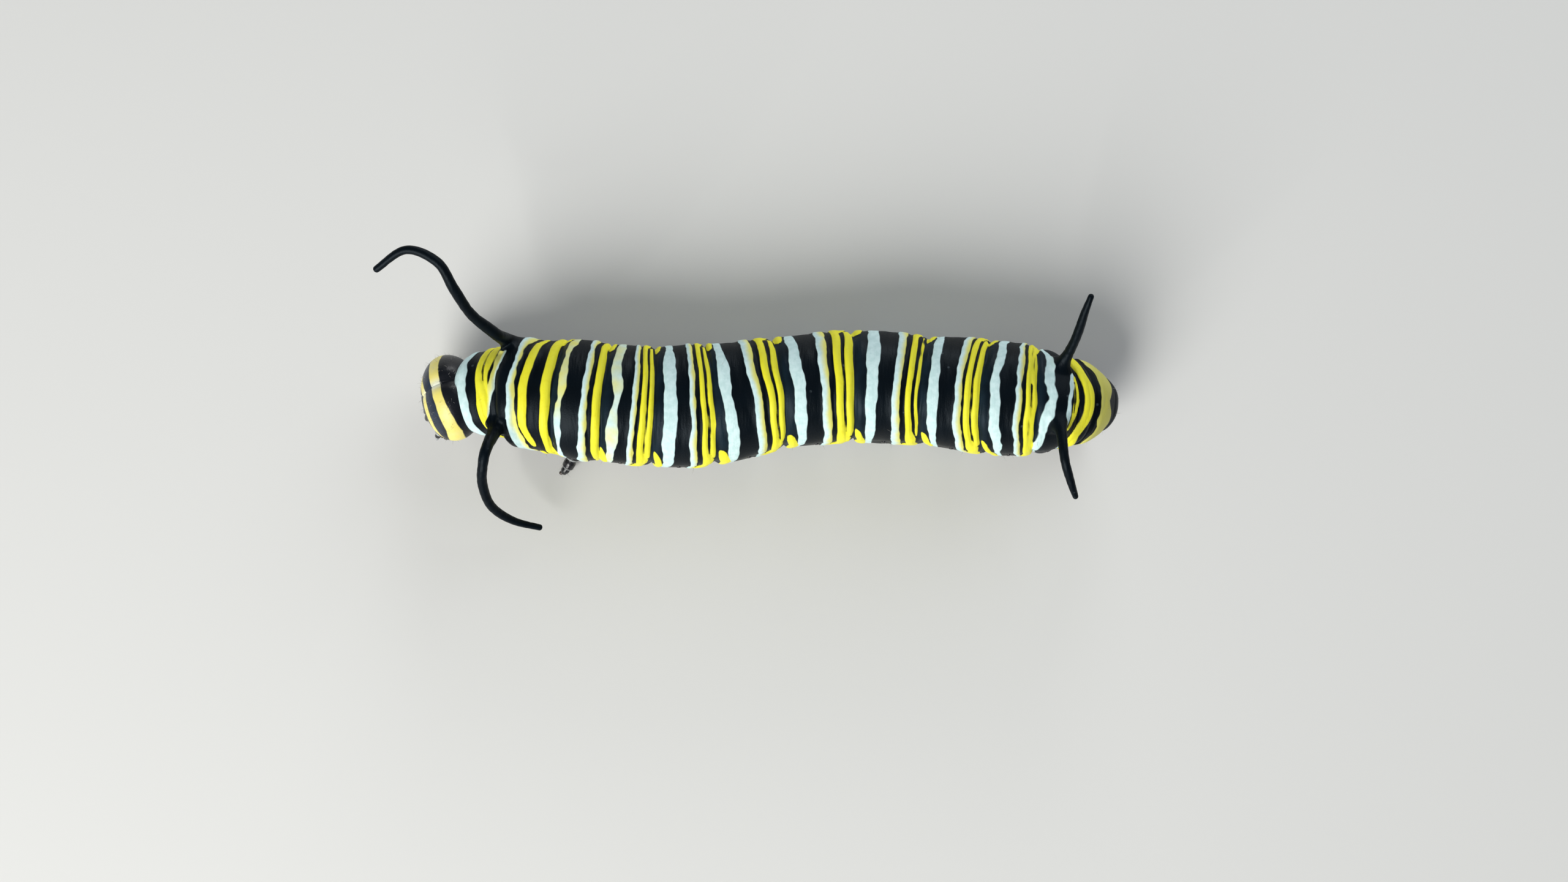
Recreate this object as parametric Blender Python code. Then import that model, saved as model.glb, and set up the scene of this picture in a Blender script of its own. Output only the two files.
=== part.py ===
# Monarch larva, fifth instar, as a still life-size model standing on the floor.
# It faces -X with its back up (+Z), so its right side is +Y and its left side -Y.
# Sizes are in millimetres, and MM turns them into Blender's metres where a mesh is made.
import math

import bmesh
import bpy
from mathutils import Matrix, Vector

MM = 0.001
JOINT_GAP = 0.3  # slit between neighbouring nodes
LIMB_GAP = 0.28  # slit between a limb or feeler and the skin that it grows from
ORIGIN_SHIFT = Vector((0.1347, -0.2015, 0.0))  # puts the middle of the whole model over the origin

# Body rings at the folds between segments, from the neck to the tail end:
# place of the ring's centre (along, across, up), half width, half height,
# and lean in degrees, positive where the back leans toward the tail.
FOLDS = (
    ((-12.20, 0.36, 2.72), 1.66, 1.57, -26),
    ((-10.66, 0.43, 2.90), 2.00, 1.86, -19),
    ((-8.52, 0.19, 3.05), 2.48, 2.27, -7),
    ((-6.68, -0.02, 3.12), 2.50, 2.32, 2),
    ((-4.65, -0.18, 3.16), 2.53, 2.36, 5),
    ((-2.18, -0.06, 3.18), 2.53, 2.38, 5),
    ((0.70, 0.43, 3.18), 2.45, 2.38, 5),
    ((3.89, 0.67, 3.18), 2.36, 2.34, 0),
    ((7.03, 0.53, 3.18), 2.38, 2.34, -10),
    ((9.75, 0.22, 3.15), 2.42, 2.34, -16),
    ((11.71, 0.06, 3.04), 2.28, 2.20, -5),
    ((12.98, 0.04, 2.76), 1.94, 1.92, 15),
    ((13.60, 0.06, 2.42), 1.72, 1.70, 23),
    ((14.46, 0.06, 1.86), 1.24, 1.16, 40),
)
SEGMENTS = (
    "thorax_1", "thorax_2", "thorax_3",
    "abdomen_1", "abdomen_2", "abdomen_3", "abdomen_4", "abdomen_5",
    "abdomen_6", "abdomen_7", "abdomen_8", "abdomen_9", "abdomen_10",
)
FOLD_DEPTH = 0.06  # how far a fold sinks, as a share of the ring's size
BELLY_DEPTH = 0.90  # belly's depth below the centre, as a share of the back's height
BELLY_FLATNESS = 0.80  # under 1 gives the flatter, boxier underside
RING_SIDES = 24
TAIL_END_LENGTH = 0.80

HEAD_CENTRE = Vector((-13.40, 0.25, 2.60))
HEAD_YAW = 14.0  # degrees: the face turns a little to the larva's left
HEAD_PITCH = 9.0  # degrees: the crown leans back a little and the mouth points down
HEAD_ROLL = -20.0  # degrees: the crown tips a little to the larva's right
HEAD_DEPTH = 1.40
HEAD_WIDTH = 1.85
HEAD_HEIGHT = 1.70
CROWN_GROOVE = 0.16
FACE_FLATNESS = 0.89
EYE_RADIUS = 0.13
EYES_PER_SIDE = 6
MOUTH_GAP = 0.2  # slit behind the jaws and feelers of the mouth

TENTACLE_SIDES = 10
# Waypoints of each feeler, from inside the skin to the tip, its radii at root, middle
# and tip, and the number of lengths that it is divided into.
TENTACLES = {
    "tentacle_front_right": (
        ((-10.42, 1.78, 4.20), (-11.04, 2.58, 5.4), (-11.92, 3.28, 6.8), (-12.48, 4.18, 8.0),
         (-13.06, 5.18, 8.7), (-14.33, 5.66, 8.8), (-15.72, 4.92, 8.1)),
        (0.33, 0.22, 0.14), 3),
    "tentacle_front_left": (
        ((-10.72, -0.55, 4.30), (-11.41, -1.88, 5.2), (-11.67, -2.83, 4.9), (-11.76, -3.62, 4.2),
         (-11.49, -4.49, 3.3), (-10.69, -5.06, 2.3), (-9.54, -5.35, 1.5)),
        (0.32, 0.21, 0.13), 3),
    "tentacle_rear_right": (
        ((12.66, 1.15, 4.00), (13.04, 2.46, 5.6), (13.37, 3.41, 6.6), (13.63, 4.1, 7.1)),
        (0.30, 0.20, 0.12), 2),
    "tentacle_rear_left": (
        ((12.50, -0.80, 4.10), (12.65, -2.42, 4.9), (12.98, -3.46, 4.6), (13.29, -4.19, 4.2)),
        (0.30, 0.20, 0.12), 2),
}
LENGTH_NAMES = {2: ("base", "tip"), 3: ("base", "middle", "tip")}

# Walking legs: place of the hip along the body, then how far the hip, knee and claw
# stand from the midline, and how far the claw reaches toward the head.
LEGS = (
    ("leg_1", -11.62, 0.62, 1.20, 1.05, 0.60),
    ("leg_2", -9.80, 0.85, 1.78, 1.68, 0.75),
    ("leg_3", -7.95, 1.40, 2.72, 3.05, 0.90),
)
# Along each leg: share of the way from hip to claw, share of the height, and radius.
LEG_STATIONS = (
    (0.00, 1.00, 0.46),
    (0.16, 0.82, 0.40),
    (0.34, 0.64, 0.30),
    (0.44, 0.56, 0.33),
    (0.62, 0.38, 0.23),
    (0.72, 0.30, 0.25),
    (0.90, 0.12, 0.15),
    (1.00, 0.00, 0.10),
)
LEG_SIDES = 8
RIGHT_LEG_TUCK = 0.80  # the right legs are held in under the body

FIRST_PROLEG = 3  # abdomen 3 carries the first pair
PROLEG_PAIRS = 4
PROLEG_SPREAD = 1.32  # from the midline to the middle of the foot
PROLEG_BASE = (0.78, 0.72)
PROLEG_ANKLE = (0.50, 0.46)
PROLEG_SOLE = (0.56, 0.50)
PROLEG_SIDES = 14
CLASPER_PLACE = 13.38
CLASPER_SPREAD = 0.98
CLASPER_SIZE = 0.96
CLASPER_REACH = 0.42  # how far the tail feet reach backward


def make_material(name, colour, roughness):
    material = bpy.data.materials.new(name)
    material.use_nodes = True
    shader = material.node_tree.nodes["Principled BSDF"]
    shader.inputs["Base Color"].default_value = (*colour, 1.0)
    shader.inputs["Roughness"].default_value = roughness
    shader.inputs["Metallic"].default_value = 0.0
    return material


def add_object(name, mesh, material, collection):
    obj = bpy.data.objects.new(name, mesh)
    collection.objects.link(obj)
    mesh.materials.clear()
    mesh.materials.append(material)
    return obj


def closed_loft(name, rings, first_tip=None, last_tip=None):
    """Skin a row of rings, each closed by a fan round its middle or round a given tip."""
    bm = bmesh.new()
    rows = [[bm.verts.new((point + ORIGIN_SHIFT) * MM) for point in ring] for ring in rings]
    count = len(rings[0])
    for row, following in zip(rows, rows[1:]):
        for i in range(count):
            j = (i + 1) % count
            bm.faces.new((row[i], row[j], following[j], following[i]))
    ends = ((rows[0], rings[0], first_tip), (rows[-1], rings[-1], last_tip))
    for row, ring, tip in ends:
        middle = tip if tip is not None else sum(ring, Vector()) / count
        centre = bm.verts.new((middle + ORIGIN_SHIFT) * MM)
        for i in range(count):
            bm.faces.new((row[i], row[(i + 1) % count], centre))
    bmesh.ops.triangulate(bm, faces=bm.faces[:])
    bmesh.ops.recalc_face_normals(bm, faces=bm.faces[:])
    mesh = bpy.data.meshes.new(name)
    bm.to_mesh(mesh)
    bm.free()
    mesh.shade_smooth()
    mesh.set_sharp_from_angle(angle=math.radians(50))
    return mesh


def keep_largest(mesh):
    """Keep only the largest closed surface of a mesh."""
    bm = bmesh.new()
    bm.from_mesh(mesh)
    unseen = set(bm.verts)
    groups = []
    while unseen:
        stack = [unseen.pop()]
        group = []
        while stack:
            vert = stack.pop()
            group.append(vert)
            for edge in vert.link_edges:
                other = edge.other_vert(vert)
                if other in unseen:
                    unseen.remove(other)
                    stack.append(other)
        groups.append(group)
    groups.sort(key=len)
    for group in groups[:-1]:
        bmesh.ops.delete(bm, geom=group, context="VERTS")
    bmesh.ops.triangulate(bm, faces=bm.faces[:])
    bm.to_mesh(mesh)
    bm.free()


def cut_flat(mesh, point, normal):
    """Cut away all that lies beyond a plane, and close the cut with a flat face."""
    bm = bmesh.new()
    bm.from_mesh(mesh)
    everything = bm.verts[:] + bm.edges[:] + bm.faces[:]
    cut = bmesh.ops.bisect_plane(bm, geom=everything, plane_co=(point + ORIGIN_SHIFT) * MM,
                                 plane_no=normal, dist=1e-8, clear_outer=True)
    rim = [item for item in cut["geom_cut"] if isinstance(item, bmesh.types.BMEdge)]
    bmesh.ops.contextual_create(bm, geom=rim)
    bmesh.ops.triangulate(bm, faces=bm.faces[:])
    bmesh.ops.recalc_face_normals(bm, faces=bm.faces[:])
    bm.to_mesh(mesh)
    bm.free()


def fuse(name, meshes, material, collection):
    """Join closed meshes into one solid with a single Boolean union."""
    base = add_object(name, meshes[0], material, collection)
    extras = bpy.data.collections.new(name + "_extras")
    bpy.context.scene.collection.children.link(extras)
    for i, mesh in enumerate(meshes[1:]):
        add_object(f"{name}_extra_{i}", mesh, material, extras)
    union = base.modifiers.new("union", "BOOLEAN")
    union.operation = "UNION"
    union.solver = "EXACT"
    union.operand_type = "COLLECTION"
    union.collection = extras
    joined = bpy.data.meshes.new_from_object(
        base.evaluated_get(bpy.context.evaluated_depsgraph_get()))
    base.modifiers.remove(union)
    base.data = joined
    keep_largest(joined)
    for obj in list(extras.objects):
        bpy.data.objects.remove(obj)
    bpy.data.collections.remove(extras)
    return base


def smooth(values, t):
    """Read a smooth curve through evenly numbered values at place t."""
    last = len(values) - 1
    i = min(max(int(math.floor(t)), 0), last - 1)
    f = t - i
    before = values[i - 1] if i > 0 else values[0] * 2 - values[1]
    after = values[i + 2] if i + 2 <= last else values[last] * 2 - values[last - 1]
    start, end = values[i], values[i + 1]
    return 0.5 * ((start * 2) + (end - before) * f
                  + (before * 2 - start * 5 + end * 4 - after) * f * f
                  + (start * 3 - before - end * 3 + after) * f * f * f)


CENTRES = [Vector(fold[0]) for fold in FOLDS]
HALF_WIDTHS = [fold[1] for fold in FOLDS]
HALF_HEIGHTS = [fold[2] for fold in FOLDS]
LEANS = [fold[3] for fold in FOLDS]


def body_turn(t):
    """Turn of the body's cross-section at place t, from its path and its lean."""
    step = smooth(CENTRES, t + 0.05) - smooth(CENTRES, t - 0.05)
    yaw = math.atan2(step.y, step.x)
    lean = math.radians(smooth(LEANS, t))
    return Matrix.Rotation(yaw, 3, "Z") @ Matrix.Rotation(lean, 3, "Y")


def body_point(t, angle, size=1.0, shrink=0.0):
    """Point of the skin at place t, at an angle that is 0 on the right flank and 90 on top."""
    half_width = smooth(HALF_WIDTHS, t) * size - shrink
    half_height = smooth(HALF_HEIGHTS, t) * size - shrink
    across = half_width * math.cos(angle)
    if math.sin(angle) >= 0:
        up = half_height * math.sin(angle)
    else:
        up = -half_height * BELLY_DEPTH * abs(math.sin(angle)) ** BELLY_FLATNESS
    return smooth(CENTRES, t) + body_turn(t) @ Vector((0.0, across, up))


def body_ring(t, size):
    return [body_point(t, 2 * math.pi * i / RING_SIDES, size) for i in range(RING_SIDES)]


def place_along_body(along):
    """Place t whose centre lies at the given distance along X."""
    low, high = 0.0, len(FOLDS) - 1.0
    for _ in range(40):
        middle = (low + high) / 2
        if smooth(CENTRES, middle).x < along:
            low = middle
        else:
            high = middle
    return (low + high) / 2


def belly_height(along, offset):
    """Height of the underside at a place along the body and a distance from its midline."""
    t = place_along_body(along)
    half_width = smooth(HALF_WIDTHS, t)
    share = min(abs(offset) / half_width, 0.985)
    drop = math.sqrt(1 - share * share) ** BELLY_FLATNESS
    return smooth(CENTRES, t).z - smooth(HALF_HEIGHTS, t) * BELLY_DEPTH * drop


def make_segment(number, name, material, collection):
    """One body segment: full in the middle and pinched at the fold on each side."""
    length = (CENTRES[number + 1] - CENTRES[number]).length
    slit = JOINT_GAP / 2 / length
    places = (
        (slit, 1 - FOLD_DEPTH),
        (slit + 0.10, 1.0),
        (0.34, 1.02),
        (0.66, 1.02),
        (0.90 - slit, 1.0),
        (1 - slit, 1 - FOLD_DEPTH),
    )
    rings = [body_ring(number + place, size) for place, size in places]
    return add_object(name, closed_loft(name, rings), material, collection)


def make_tail_plate(material, collection):
    """Black shield that rounds off the tail behind the last segment."""
    start = len(FOLDS) - 1
    turn = body_turn(start)
    centre = CENTRES[-1]
    rings = []
    steps = 5
    for i in range(steps):
        bend = math.pi / 2 * i / steps
        forward = JOINT_GAP / 2 + TAIL_END_LENGTH * math.sin(bend)
        size = math.cos(bend) * (1 - FOLD_DEPTH)
        ring = []
        for k in range(RING_SIDES):
            angle = 2 * math.pi * k / RING_SIDES
            offset = Vector((forward, HALF_WIDTHS[-1] * size * math.cos(angle),
                             HALF_HEIGHTS[-1] * size * math.sin(angle)))
            ring.append(centre + turn @ offset)
        rings.append(ring)
    tip = centre + turn @ Vector((JOINT_GAP / 2 + TAIL_END_LENGTH, 0, 0))
    mesh = closed_loft("anal_plate", rings, last_tip=tip)
    return add_object("anal_plate", mesh, material, collection)


def head_turn():
    return (Matrix.Rotation(math.radians(HEAD_YAW), 3, "Z")
            @ Matrix.Rotation(math.radians(HEAD_ROLL), 3, "X")
            @ Matrix.Rotation(math.radians(HEAD_PITCH), 3, "Y"))


def head_point(azimuth, height, lift=0.0):
    """Point of the head capsule: azimuth 0 faces forward (-X), height -1 to 1 is up its axis."""
    level = max(-1.0, min(1.0, height))
    around = math.sqrt(1 - level * level)
    forward = around * math.cos(azimuth)
    side = around * math.sin(azimuth)
    cheeks = 1.0 + 0.06 * math.exp(-((level + 0.25) / 0.5) ** 2)
    flat = FACE_FLATNESS if forward > 0 else 1.0
    groove = CROWN_GROOVE * math.exp(-(side / 0.16) ** 2) * max(0.0, level + 0.15)
    jaw = 1.0 - 0.22 * max(0.0, -level - 0.25)
    local = Vector((
        -(HEAD_DEPTH * forward * flat * jaw + lift * forward),
        HEAD_WIDTH * side * cheeks * jaw + lift * side,
        HEAD_HEIGHT * level * (1 - groove * 0.6) + lift * level,
    ))
    local.x += groove * 0.35 * max(0.0, forward)
    return HEAD_CENTRE + head_turn() @ local


def capsule_mesh():
    """Head capsule: two rounded cheeks with a shallow furrow down the crown and brow."""
    levels = 12
    around = 24
    rings = []
    for i in range(1, levels):
        height = -math.cos(math.pi * i / levels)
        rings.append([head_point(2 * math.pi * k / around, height) for k in range(around)])
    return closed_loft("head", rings, head_point(0, -1.0), head_point(0, 1.0))


def ball(name, centre, radius):
    mesh = bpy.data.meshes.new(name)
    bm = bmesh.new()
    bmesh.ops.create_icosphere(bm, subdivisions=1, radius=radius * MM)
    bmesh.ops.translate(bm, verts=bm.verts, vec=(centre + ORIGIN_SHIFT) * MM)
    bm.to_mesh(mesh)
    bm.free()
    return mesh


def taper(name, points, radii, sides, widen=1.0, floor=None):
    """Closed loft of round rings square to a path; floor flattens the last ring there."""
    rings = []
    for i, point in enumerate(points):
        ahead = points[min(i + 1, len(points) - 1)]
        behind = points[max(i - 1, 0)]
        direction = (ahead - behind).normalized()
        if floor is not None and i == len(points) - 1:
            direction = Vector((0, 0, -1))
        side = direction.cross(Vector((1, 0, 0.02))).normalized()
        front = side.cross(direction).normalized()
        ring = []
        for k in range(sides):
            angle = 2 * math.pi * k / sides
            ring.append(point + side * radii[i] * math.cos(angle)
                        + front * radii[i] * widen * math.sin(angle))
        rings.append(ring)
    return closed_loft(name, rings)


def make_head(materials, collection):
    """Capsule with its simple eyes, upper lip, maxillae and lower lip in one node."""
    turn = head_turn()
    pieces = [capsule_mesh()]
    for side in (-1, 1):
        for i in range(EYES_PER_SIDE):
            bend = math.radians(-20 + 40 * i)
            azimuth = side * (math.radians(58) + 0.20 * math.cos(bend))
            height = -0.50 + 0.20 * math.sin(bend)
            pieces.append(ball("eye", head_point(azimuth, height, -EYE_RADIUS * 0.45), EYE_RADIUS))
    lip_root = head_point(0, -0.55, -0.25)
    lip_path = [lip_root, lip_root + turn @ Vector((-0.30, 0, -0.22)),
                lip_root + turn @ Vector((-0.42, 0, -0.55))]
    pieces.append(taper("labrum", lip_path, (0.34, 0.40, 0.30), 12, 0.5))
    low_root = head_point(0, -0.93, -0.35)
    low_path = [low_root, low_root + turn @ Vector((-0.10, 0, -0.45)),
                low_root + turn @ Vector((-0.28, 0, -0.78))]
    pieces.append(taper("labium", low_path, (0.34, 0.26, 0.13), 10))
    for side in (-1, 1):
        root = head_point(side * math.radians(62), -0.90, -0.30)
        path = [root, root + turn @ Vector((-0.14, side * 0.03, -0.40)),
                root + turn @ Vector((-0.30, -side * 0.02, -0.66))]
        pieces.append(taper("maxilla", path, (0.27, 0.22, 0.12), 8))
    head = fuse("head", pieces, materials["head"], collection)
    back = body_turn(0) @ Vector((1, 0, 0))
    cut_flat(head.data, CENTRES[0] - back * JOINT_GAP / 2, back)
    return head


def make_jaws_and_antennae(materials, collection):
    turn = head_turn()
    for side, word in ((-1, "left"), (1, "right")):
        root = head_point(side * math.radians(24), -0.84, MOUTH_GAP)
        path = [root, root + turn @ Vector((-0.16, -side * 0.02, -0.22)),
                root + turn @ Vector((-0.26, -side * 0.12, -0.50))]
        name = "mandible_" + word
        mesh = taper(name, path, (0.25, 0.27, 0.16), 8)
        add_object(name, mesh, materials["head"], collection)
        root = head_point(side * math.radians(44), -0.66, MOUTH_GAP)
        path = [root, root + turn @ Vector((-0.12, side * 0.07, -0.16)),
                root + turn @ Vector((-0.22, side * 0.12, -0.36)),
                root + turn @ Vector((-0.30, side * 0.14, -0.58))]
        name = "antenna_" + word
        mesh = taper(name, path, (0.22, 0.19, 0.13, 0.07), 8)
        add_object(name, mesh, materials["head"], collection)


def tentacle_radius(radii, share):
    root, middle, tip = radii
    if share < 0.45:
        blend = share / 0.45
        return root + (middle - root) * (1 - (1 - blend) ** 2)
    blend = (share - 0.45) / 0.55
    return middle + (tip - middle) * blend ** 1.6


def make_tentacle(name, waypoints, radii, lengths, material, collection):
    """Soft feeler in a few lengths, its root ring cut back to stand clear of the skin."""
    points = [Vector(p) for p in waypoints]
    fine = 200
    path = [smooth(points, (len(points) - 1) * i / fine) for i in range(fine + 1)]
    clear = next(i for i, p in enumerate(path) if skin_distance(p) > LIMB_GAP)
    steps = 6 if lengths == 3 else 5
    span = (fine - clear) / lengths
    trim = JOINT_GAP / 2
    for part in range(lengths):
        first = clear + span * part
        last = clear + span * (part + 1)
        size = (path[min(int(last), fine)] - path[int(first)]).length
        cut = trim / size * span
        first += cut if part > 0 else 0
        last -= cut if part < lengths - 1 else 0
        stations = []
        widths = []
        for i in range(steps + 1):
            place = first + (last - first) * i / steps
            stations.append(smooth(points, (len(points) - 1) * place / fine))
            widths.append(tentacle_radius(radii, (place - clear) / (fine - clear)))
        if part == lengths - 1:
            widths[-1] *= 0.6
        node = f"{name}_{LENGTH_NAMES[lengths][part]}"
        mesh = taper(node, stations, widths, TENTACLE_SIDES)
        add_object(node, mesh, material, collection)


def skin_distance(point):
    """Rough distance of a point outside the skin, read across the body's section there."""
    t = place_along_body(point.x)
    offset = body_turn(t).transposed() @ (point - smooth(CENTRES, t))
    t = min(max(t + offset.x / 2.3, 0.0), len(FOLDS) - 1.0)
    offset = body_turn(t).transposed() @ (point - smooth(CENTRES, t))
    half_width = smooth(HALF_WIDTHS, t) * 1.02
    half_height = smooth(HALF_HEIGHTS, t) * 1.02
    across = math.hypot(offset.y / half_width, offset.z / half_height)
    return (across - 1) * (half_width + half_height) / 2


def make_leg(name, along, hip, knee, claw, reach, side, material, collection):
    """Jointed walking leg: hip, thigh, shin and claw swell at the joints and end on a flat."""
    middle = smooth(CENTRES, place_along_body(along)).y
    top = belly_height(along, hip) - LIMB_GAP
    if side > 0:
        knee *= RIGHT_LEG_TUCK
        claw *= RIGHT_LEG_TUCK
    path = []
    for share, height, _ in LEG_STATIONS:
        spread = hip * (1 - share) ** 2 + 2 * knee * share * (1 - share) + claw * share ** 2
        path.append(Vector((along - reach * share, middle + side * spread, top * height)))
    rings = []
    for i, point in enumerate(path):
        radius = LEG_STATIONS[i][2]
        direction = (path[min(i + 1, len(path) - 1)] - path[max(i - 1, 0)]).normalized()
        if i in (0, len(path) - 1):
            direction = Vector((0, 0, -1))
        across = direction.cross(Vector((1, 0, 0))).normalized()
        front = across.cross(direction).normalized()
        ring = []
        for k in range(LEG_SIDES):
            angle = 2 * math.pi * k / LEG_SIDES
            spot = point + across * radius * math.cos(angle) + front * radius * math.sin(angle)
            if i == 0:
                spot.z = belly_height(spot.x, spot.y - middle) - LIMB_GAP
            ring.append(spot)
        rings.append(ring)
    add_object(name, closed_loft(name, rings), material, collection)


def make_proleg(name, along, spread, size, turn_out, material, collection):
    """Fleshy false leg: broad root under the flank, narrow ankle, and a flat sole of hooks."""
    middle = smooth(CENTRES, place_along_body(along)).y
    side = 1 if spread > 0 else -1
    top = belly_height(along, spread) - LIMB_GAP
    levels = (
        (top, PROLEG_BASE, 0.10),
        (top * 0.62, (PROLEG_BASE[0] * 0.84, PROLEG_BASE[1] * 0.84), 0.06),
        (top * 0.30, PROLEG_ANKLE, 0.0),
        (top * 0.14, PROLEG_SOLE, 0.0),
        (0.0, (PROLEG_SOLE[0] * 0.9, PROLEG_SOLE[1] * 0.9), 0.0),
    )
    rings = []
    for number, (height, radii, lean) in enumerate(levels):
        ring = []
        for k in range(PROLEG_SIDES):
            angle = 2 * math.pi * k / PROLEG_SIDES
            offset = spread + radii[1] * size * math.sin(angle) - side * lean
            back = turn_out * (1 - height / top)
            spot = Vector((along + back + radii[0] * size * math.cos(angle), middle + offset, height))
            if number == 0:
                spot.z = belly_height(spot.x, offset) - LIMB_GAP
            ring.append(spot)
        rings.append(ring)
    mesh = closed_loft(name, rings)
    add_object(name, mesh, material, collection)


def build():
    for obj in list(bpy.data.objects):
        bpy.data.objects.remove(obj)
    collection = bpy.data.collections.new("monarch_larva")
    bpy.context.scene.collection.children.link(collection)
    materials = {
        "skin": make_material("banded_skin", (0.75, 0.72, 0.12), 0.45),
        "head": make_material("head_capsule", (0.03, 0.03, 0.035), 0.25),
        "leg": make_material("leg_shell", (0.02, 0.02, 0.025), 0.22),
        "feeler": make_material("tentacle_skin", (0.02, 0.02, 0.03), 0.55),
    }
    for number, name in enumerate(SEGMENTS):
        make_segment(number, name, materials["skin"], collection)
    make_tail_plate(materials["skin"], collection)
    make_head(materials, collection)
    make_jaws_and_antennae(materials, collection)
    for name, (waypoints, radii, lengths) in TENTACLES.items():
        make_tentacle(name, waypoints, radii, lengths, materials["feeler"], collection)
    for side, word in ((-1, "left"), (1, "right")):
        for name, along, hip, knee, claw, reach in LEGS:
            make_leg(f"{name}_{word}", along, hip, knee, claw, reach, side,
                     materials["leg"], collection)
        for number in range(FIRST_PROLEG, FIRST_PROLEG + PROLEG_PAIRS):
            fold = SEGMENTS.index(f"abdomen_{number}")
            along = (CENTRES[fold].x + CENTRES[fold + 1].x) / 2
            make_proleg(f"proleg_{number}_{word}", along, side * PROLEG_SPREAD, 1.0, 0.0,
                        materials["skin"], collection)
        make_proleg(f"anal_proleg_{word}", CLASPER_PLACE, side * CLASPER_SPREAD, CLASPER_SIZE,
                    CLASPER_REACH, materials["skin"], collection)


build()
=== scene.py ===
import math

import bmesh
import bpy
import numpy as np
from mathutils import Matrix, Vector


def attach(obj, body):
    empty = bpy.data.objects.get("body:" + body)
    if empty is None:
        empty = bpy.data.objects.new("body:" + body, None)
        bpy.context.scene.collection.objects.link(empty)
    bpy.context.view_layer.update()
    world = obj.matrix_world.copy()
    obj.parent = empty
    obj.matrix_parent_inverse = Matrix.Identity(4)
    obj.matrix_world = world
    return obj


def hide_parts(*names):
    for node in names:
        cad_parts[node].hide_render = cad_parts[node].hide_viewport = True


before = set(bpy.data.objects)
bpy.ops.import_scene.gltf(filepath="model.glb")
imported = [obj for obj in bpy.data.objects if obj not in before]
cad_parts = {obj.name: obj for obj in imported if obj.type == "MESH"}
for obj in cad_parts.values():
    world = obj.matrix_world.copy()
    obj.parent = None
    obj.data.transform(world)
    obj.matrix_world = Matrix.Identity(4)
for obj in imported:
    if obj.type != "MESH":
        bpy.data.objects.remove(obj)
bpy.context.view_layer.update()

# Camera: it looks down on the back from a hand's breadth away, a little from the
# larva's left, with the whole larva in the frame as the photograph has it.
MM = 0.001
CAMERA_TARGET = Vector((1.0947, -1.8515, 2.7)) * MM
CAMERA_DISTANCE = 93.57 * MM
CAMERA_TILT = math.radians(4.0)


def put(name, data):
    """Add an object with this data to the scene."""
    thing = bpy.data.objects.new(name, data)
    bpy.context.scene.collection.objects.link(thing)
    return thing


camera_data = bpy.data.cameras.new("camera")
camera_data.lens = 50.0
camera_data.sensor_width = 36.0
camera_data.clip_start = 0.001
camera_data.clip_end = 5.0
camera = put("camera", camera_data)
toward = Vector((0.0, -math.sin(CAMERA_TILT), math.cos(CAMERA_TILT)))
camera.location = CAMERA_TARGET + toward * CAMERA_DISTANCE
camera.rotation_euler = (CAMERA_TILT, 0.0, 0.0)
bpy.context.scene.camera = camera
bpy.context.scene.view_settings.view_transform = "Standard"

# Floor: a plain pale board, matt, much wider than the picture. It stands in for the leaf,
# which the model leaves out.
FLOOR_HALF = 3.0


def begin_paint(name, roughness, specular=0.5):
    """Start a finish; the node helpers below then add to it."""
    global nodes, links
    paint = bpy.data.materials.new(name)
    paint.use_nodes = True
    nodes, links = paint.node_tree.nodes, paint.node_tree.links
    shader = nodes["Principled BSDF"]
    shader.inputs["Roughness"].default_value = roughness
    shader.inputs["Specular IOR Level"].default_value = specular
    return paint, shader


floor_paint, floor_shader = begin_paint("floor_paint", 0.80)
floor_shader.inputs["Base Color"].default_value = (0.70, 0.70, 0.68, 1)
floor_mesh = bpy.data.meshes.new("floor")
floor_mesh.from_pydata([(x * FLOOR_HALF, y * FLOOR_HALF, 0) for x, y in ((-1, -1), (1, -1), (1, 1), (-1, 1))],
                       [], [(0, 1, 2, 3)])
floor_mesh.materials.append(floor_paint)
floor = put("floor", floor_mesh)

# Lights: broad soft daylight from high on the left, a weaker one on the right to fill the
# shade, and a low one behind.
for name, place, size, power, tint in (
        ("key", (-0.11, -0.17, 0.14), 0.18, 0.80, (1.0, 0.99, 0.96)),
        ("fill", (0.15, 0.16, 0.13), 0.22, 0.24, (0.92, 0.96, 1.0)),
        ("back", (0.03, 0.24, 0.06), 0.10, 0.16, (1.0, 1.0, 1.0))):
    light_data = bpy.data.lights.new(name, "AREA")
    light_data.shape = "DISK"
    light_data.size = size
    light_data.energy = power
    light_data.color = tint
    light = put(name, light_data)
    light.location = place
    light.rotation_euler = (-Vector(place)).to_track_quat("-Z", "Y").to_euler()
world = bpy.data.worlds.new("studio")
world.use_nodes = True
sky = world.node_tree.nodes["Background"]
sky.inputs["Color"].default_value = (0.84, 0.90, 1.0, 1)
sky.inputs["Strength"].default_value = 0.16
bpy.context.scene.world = world

# Skin: the soft body behind the head, three thorax and ten abdomen segments, with its
# false legs and feelers. It is one continuous hide, pinched at each fold and creased
# across, swept along the back's path; limbs grow out of windows opened in it.
ORIGIN_SHIFT = np.array((0.1347, -0.2015, 0.0))
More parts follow.
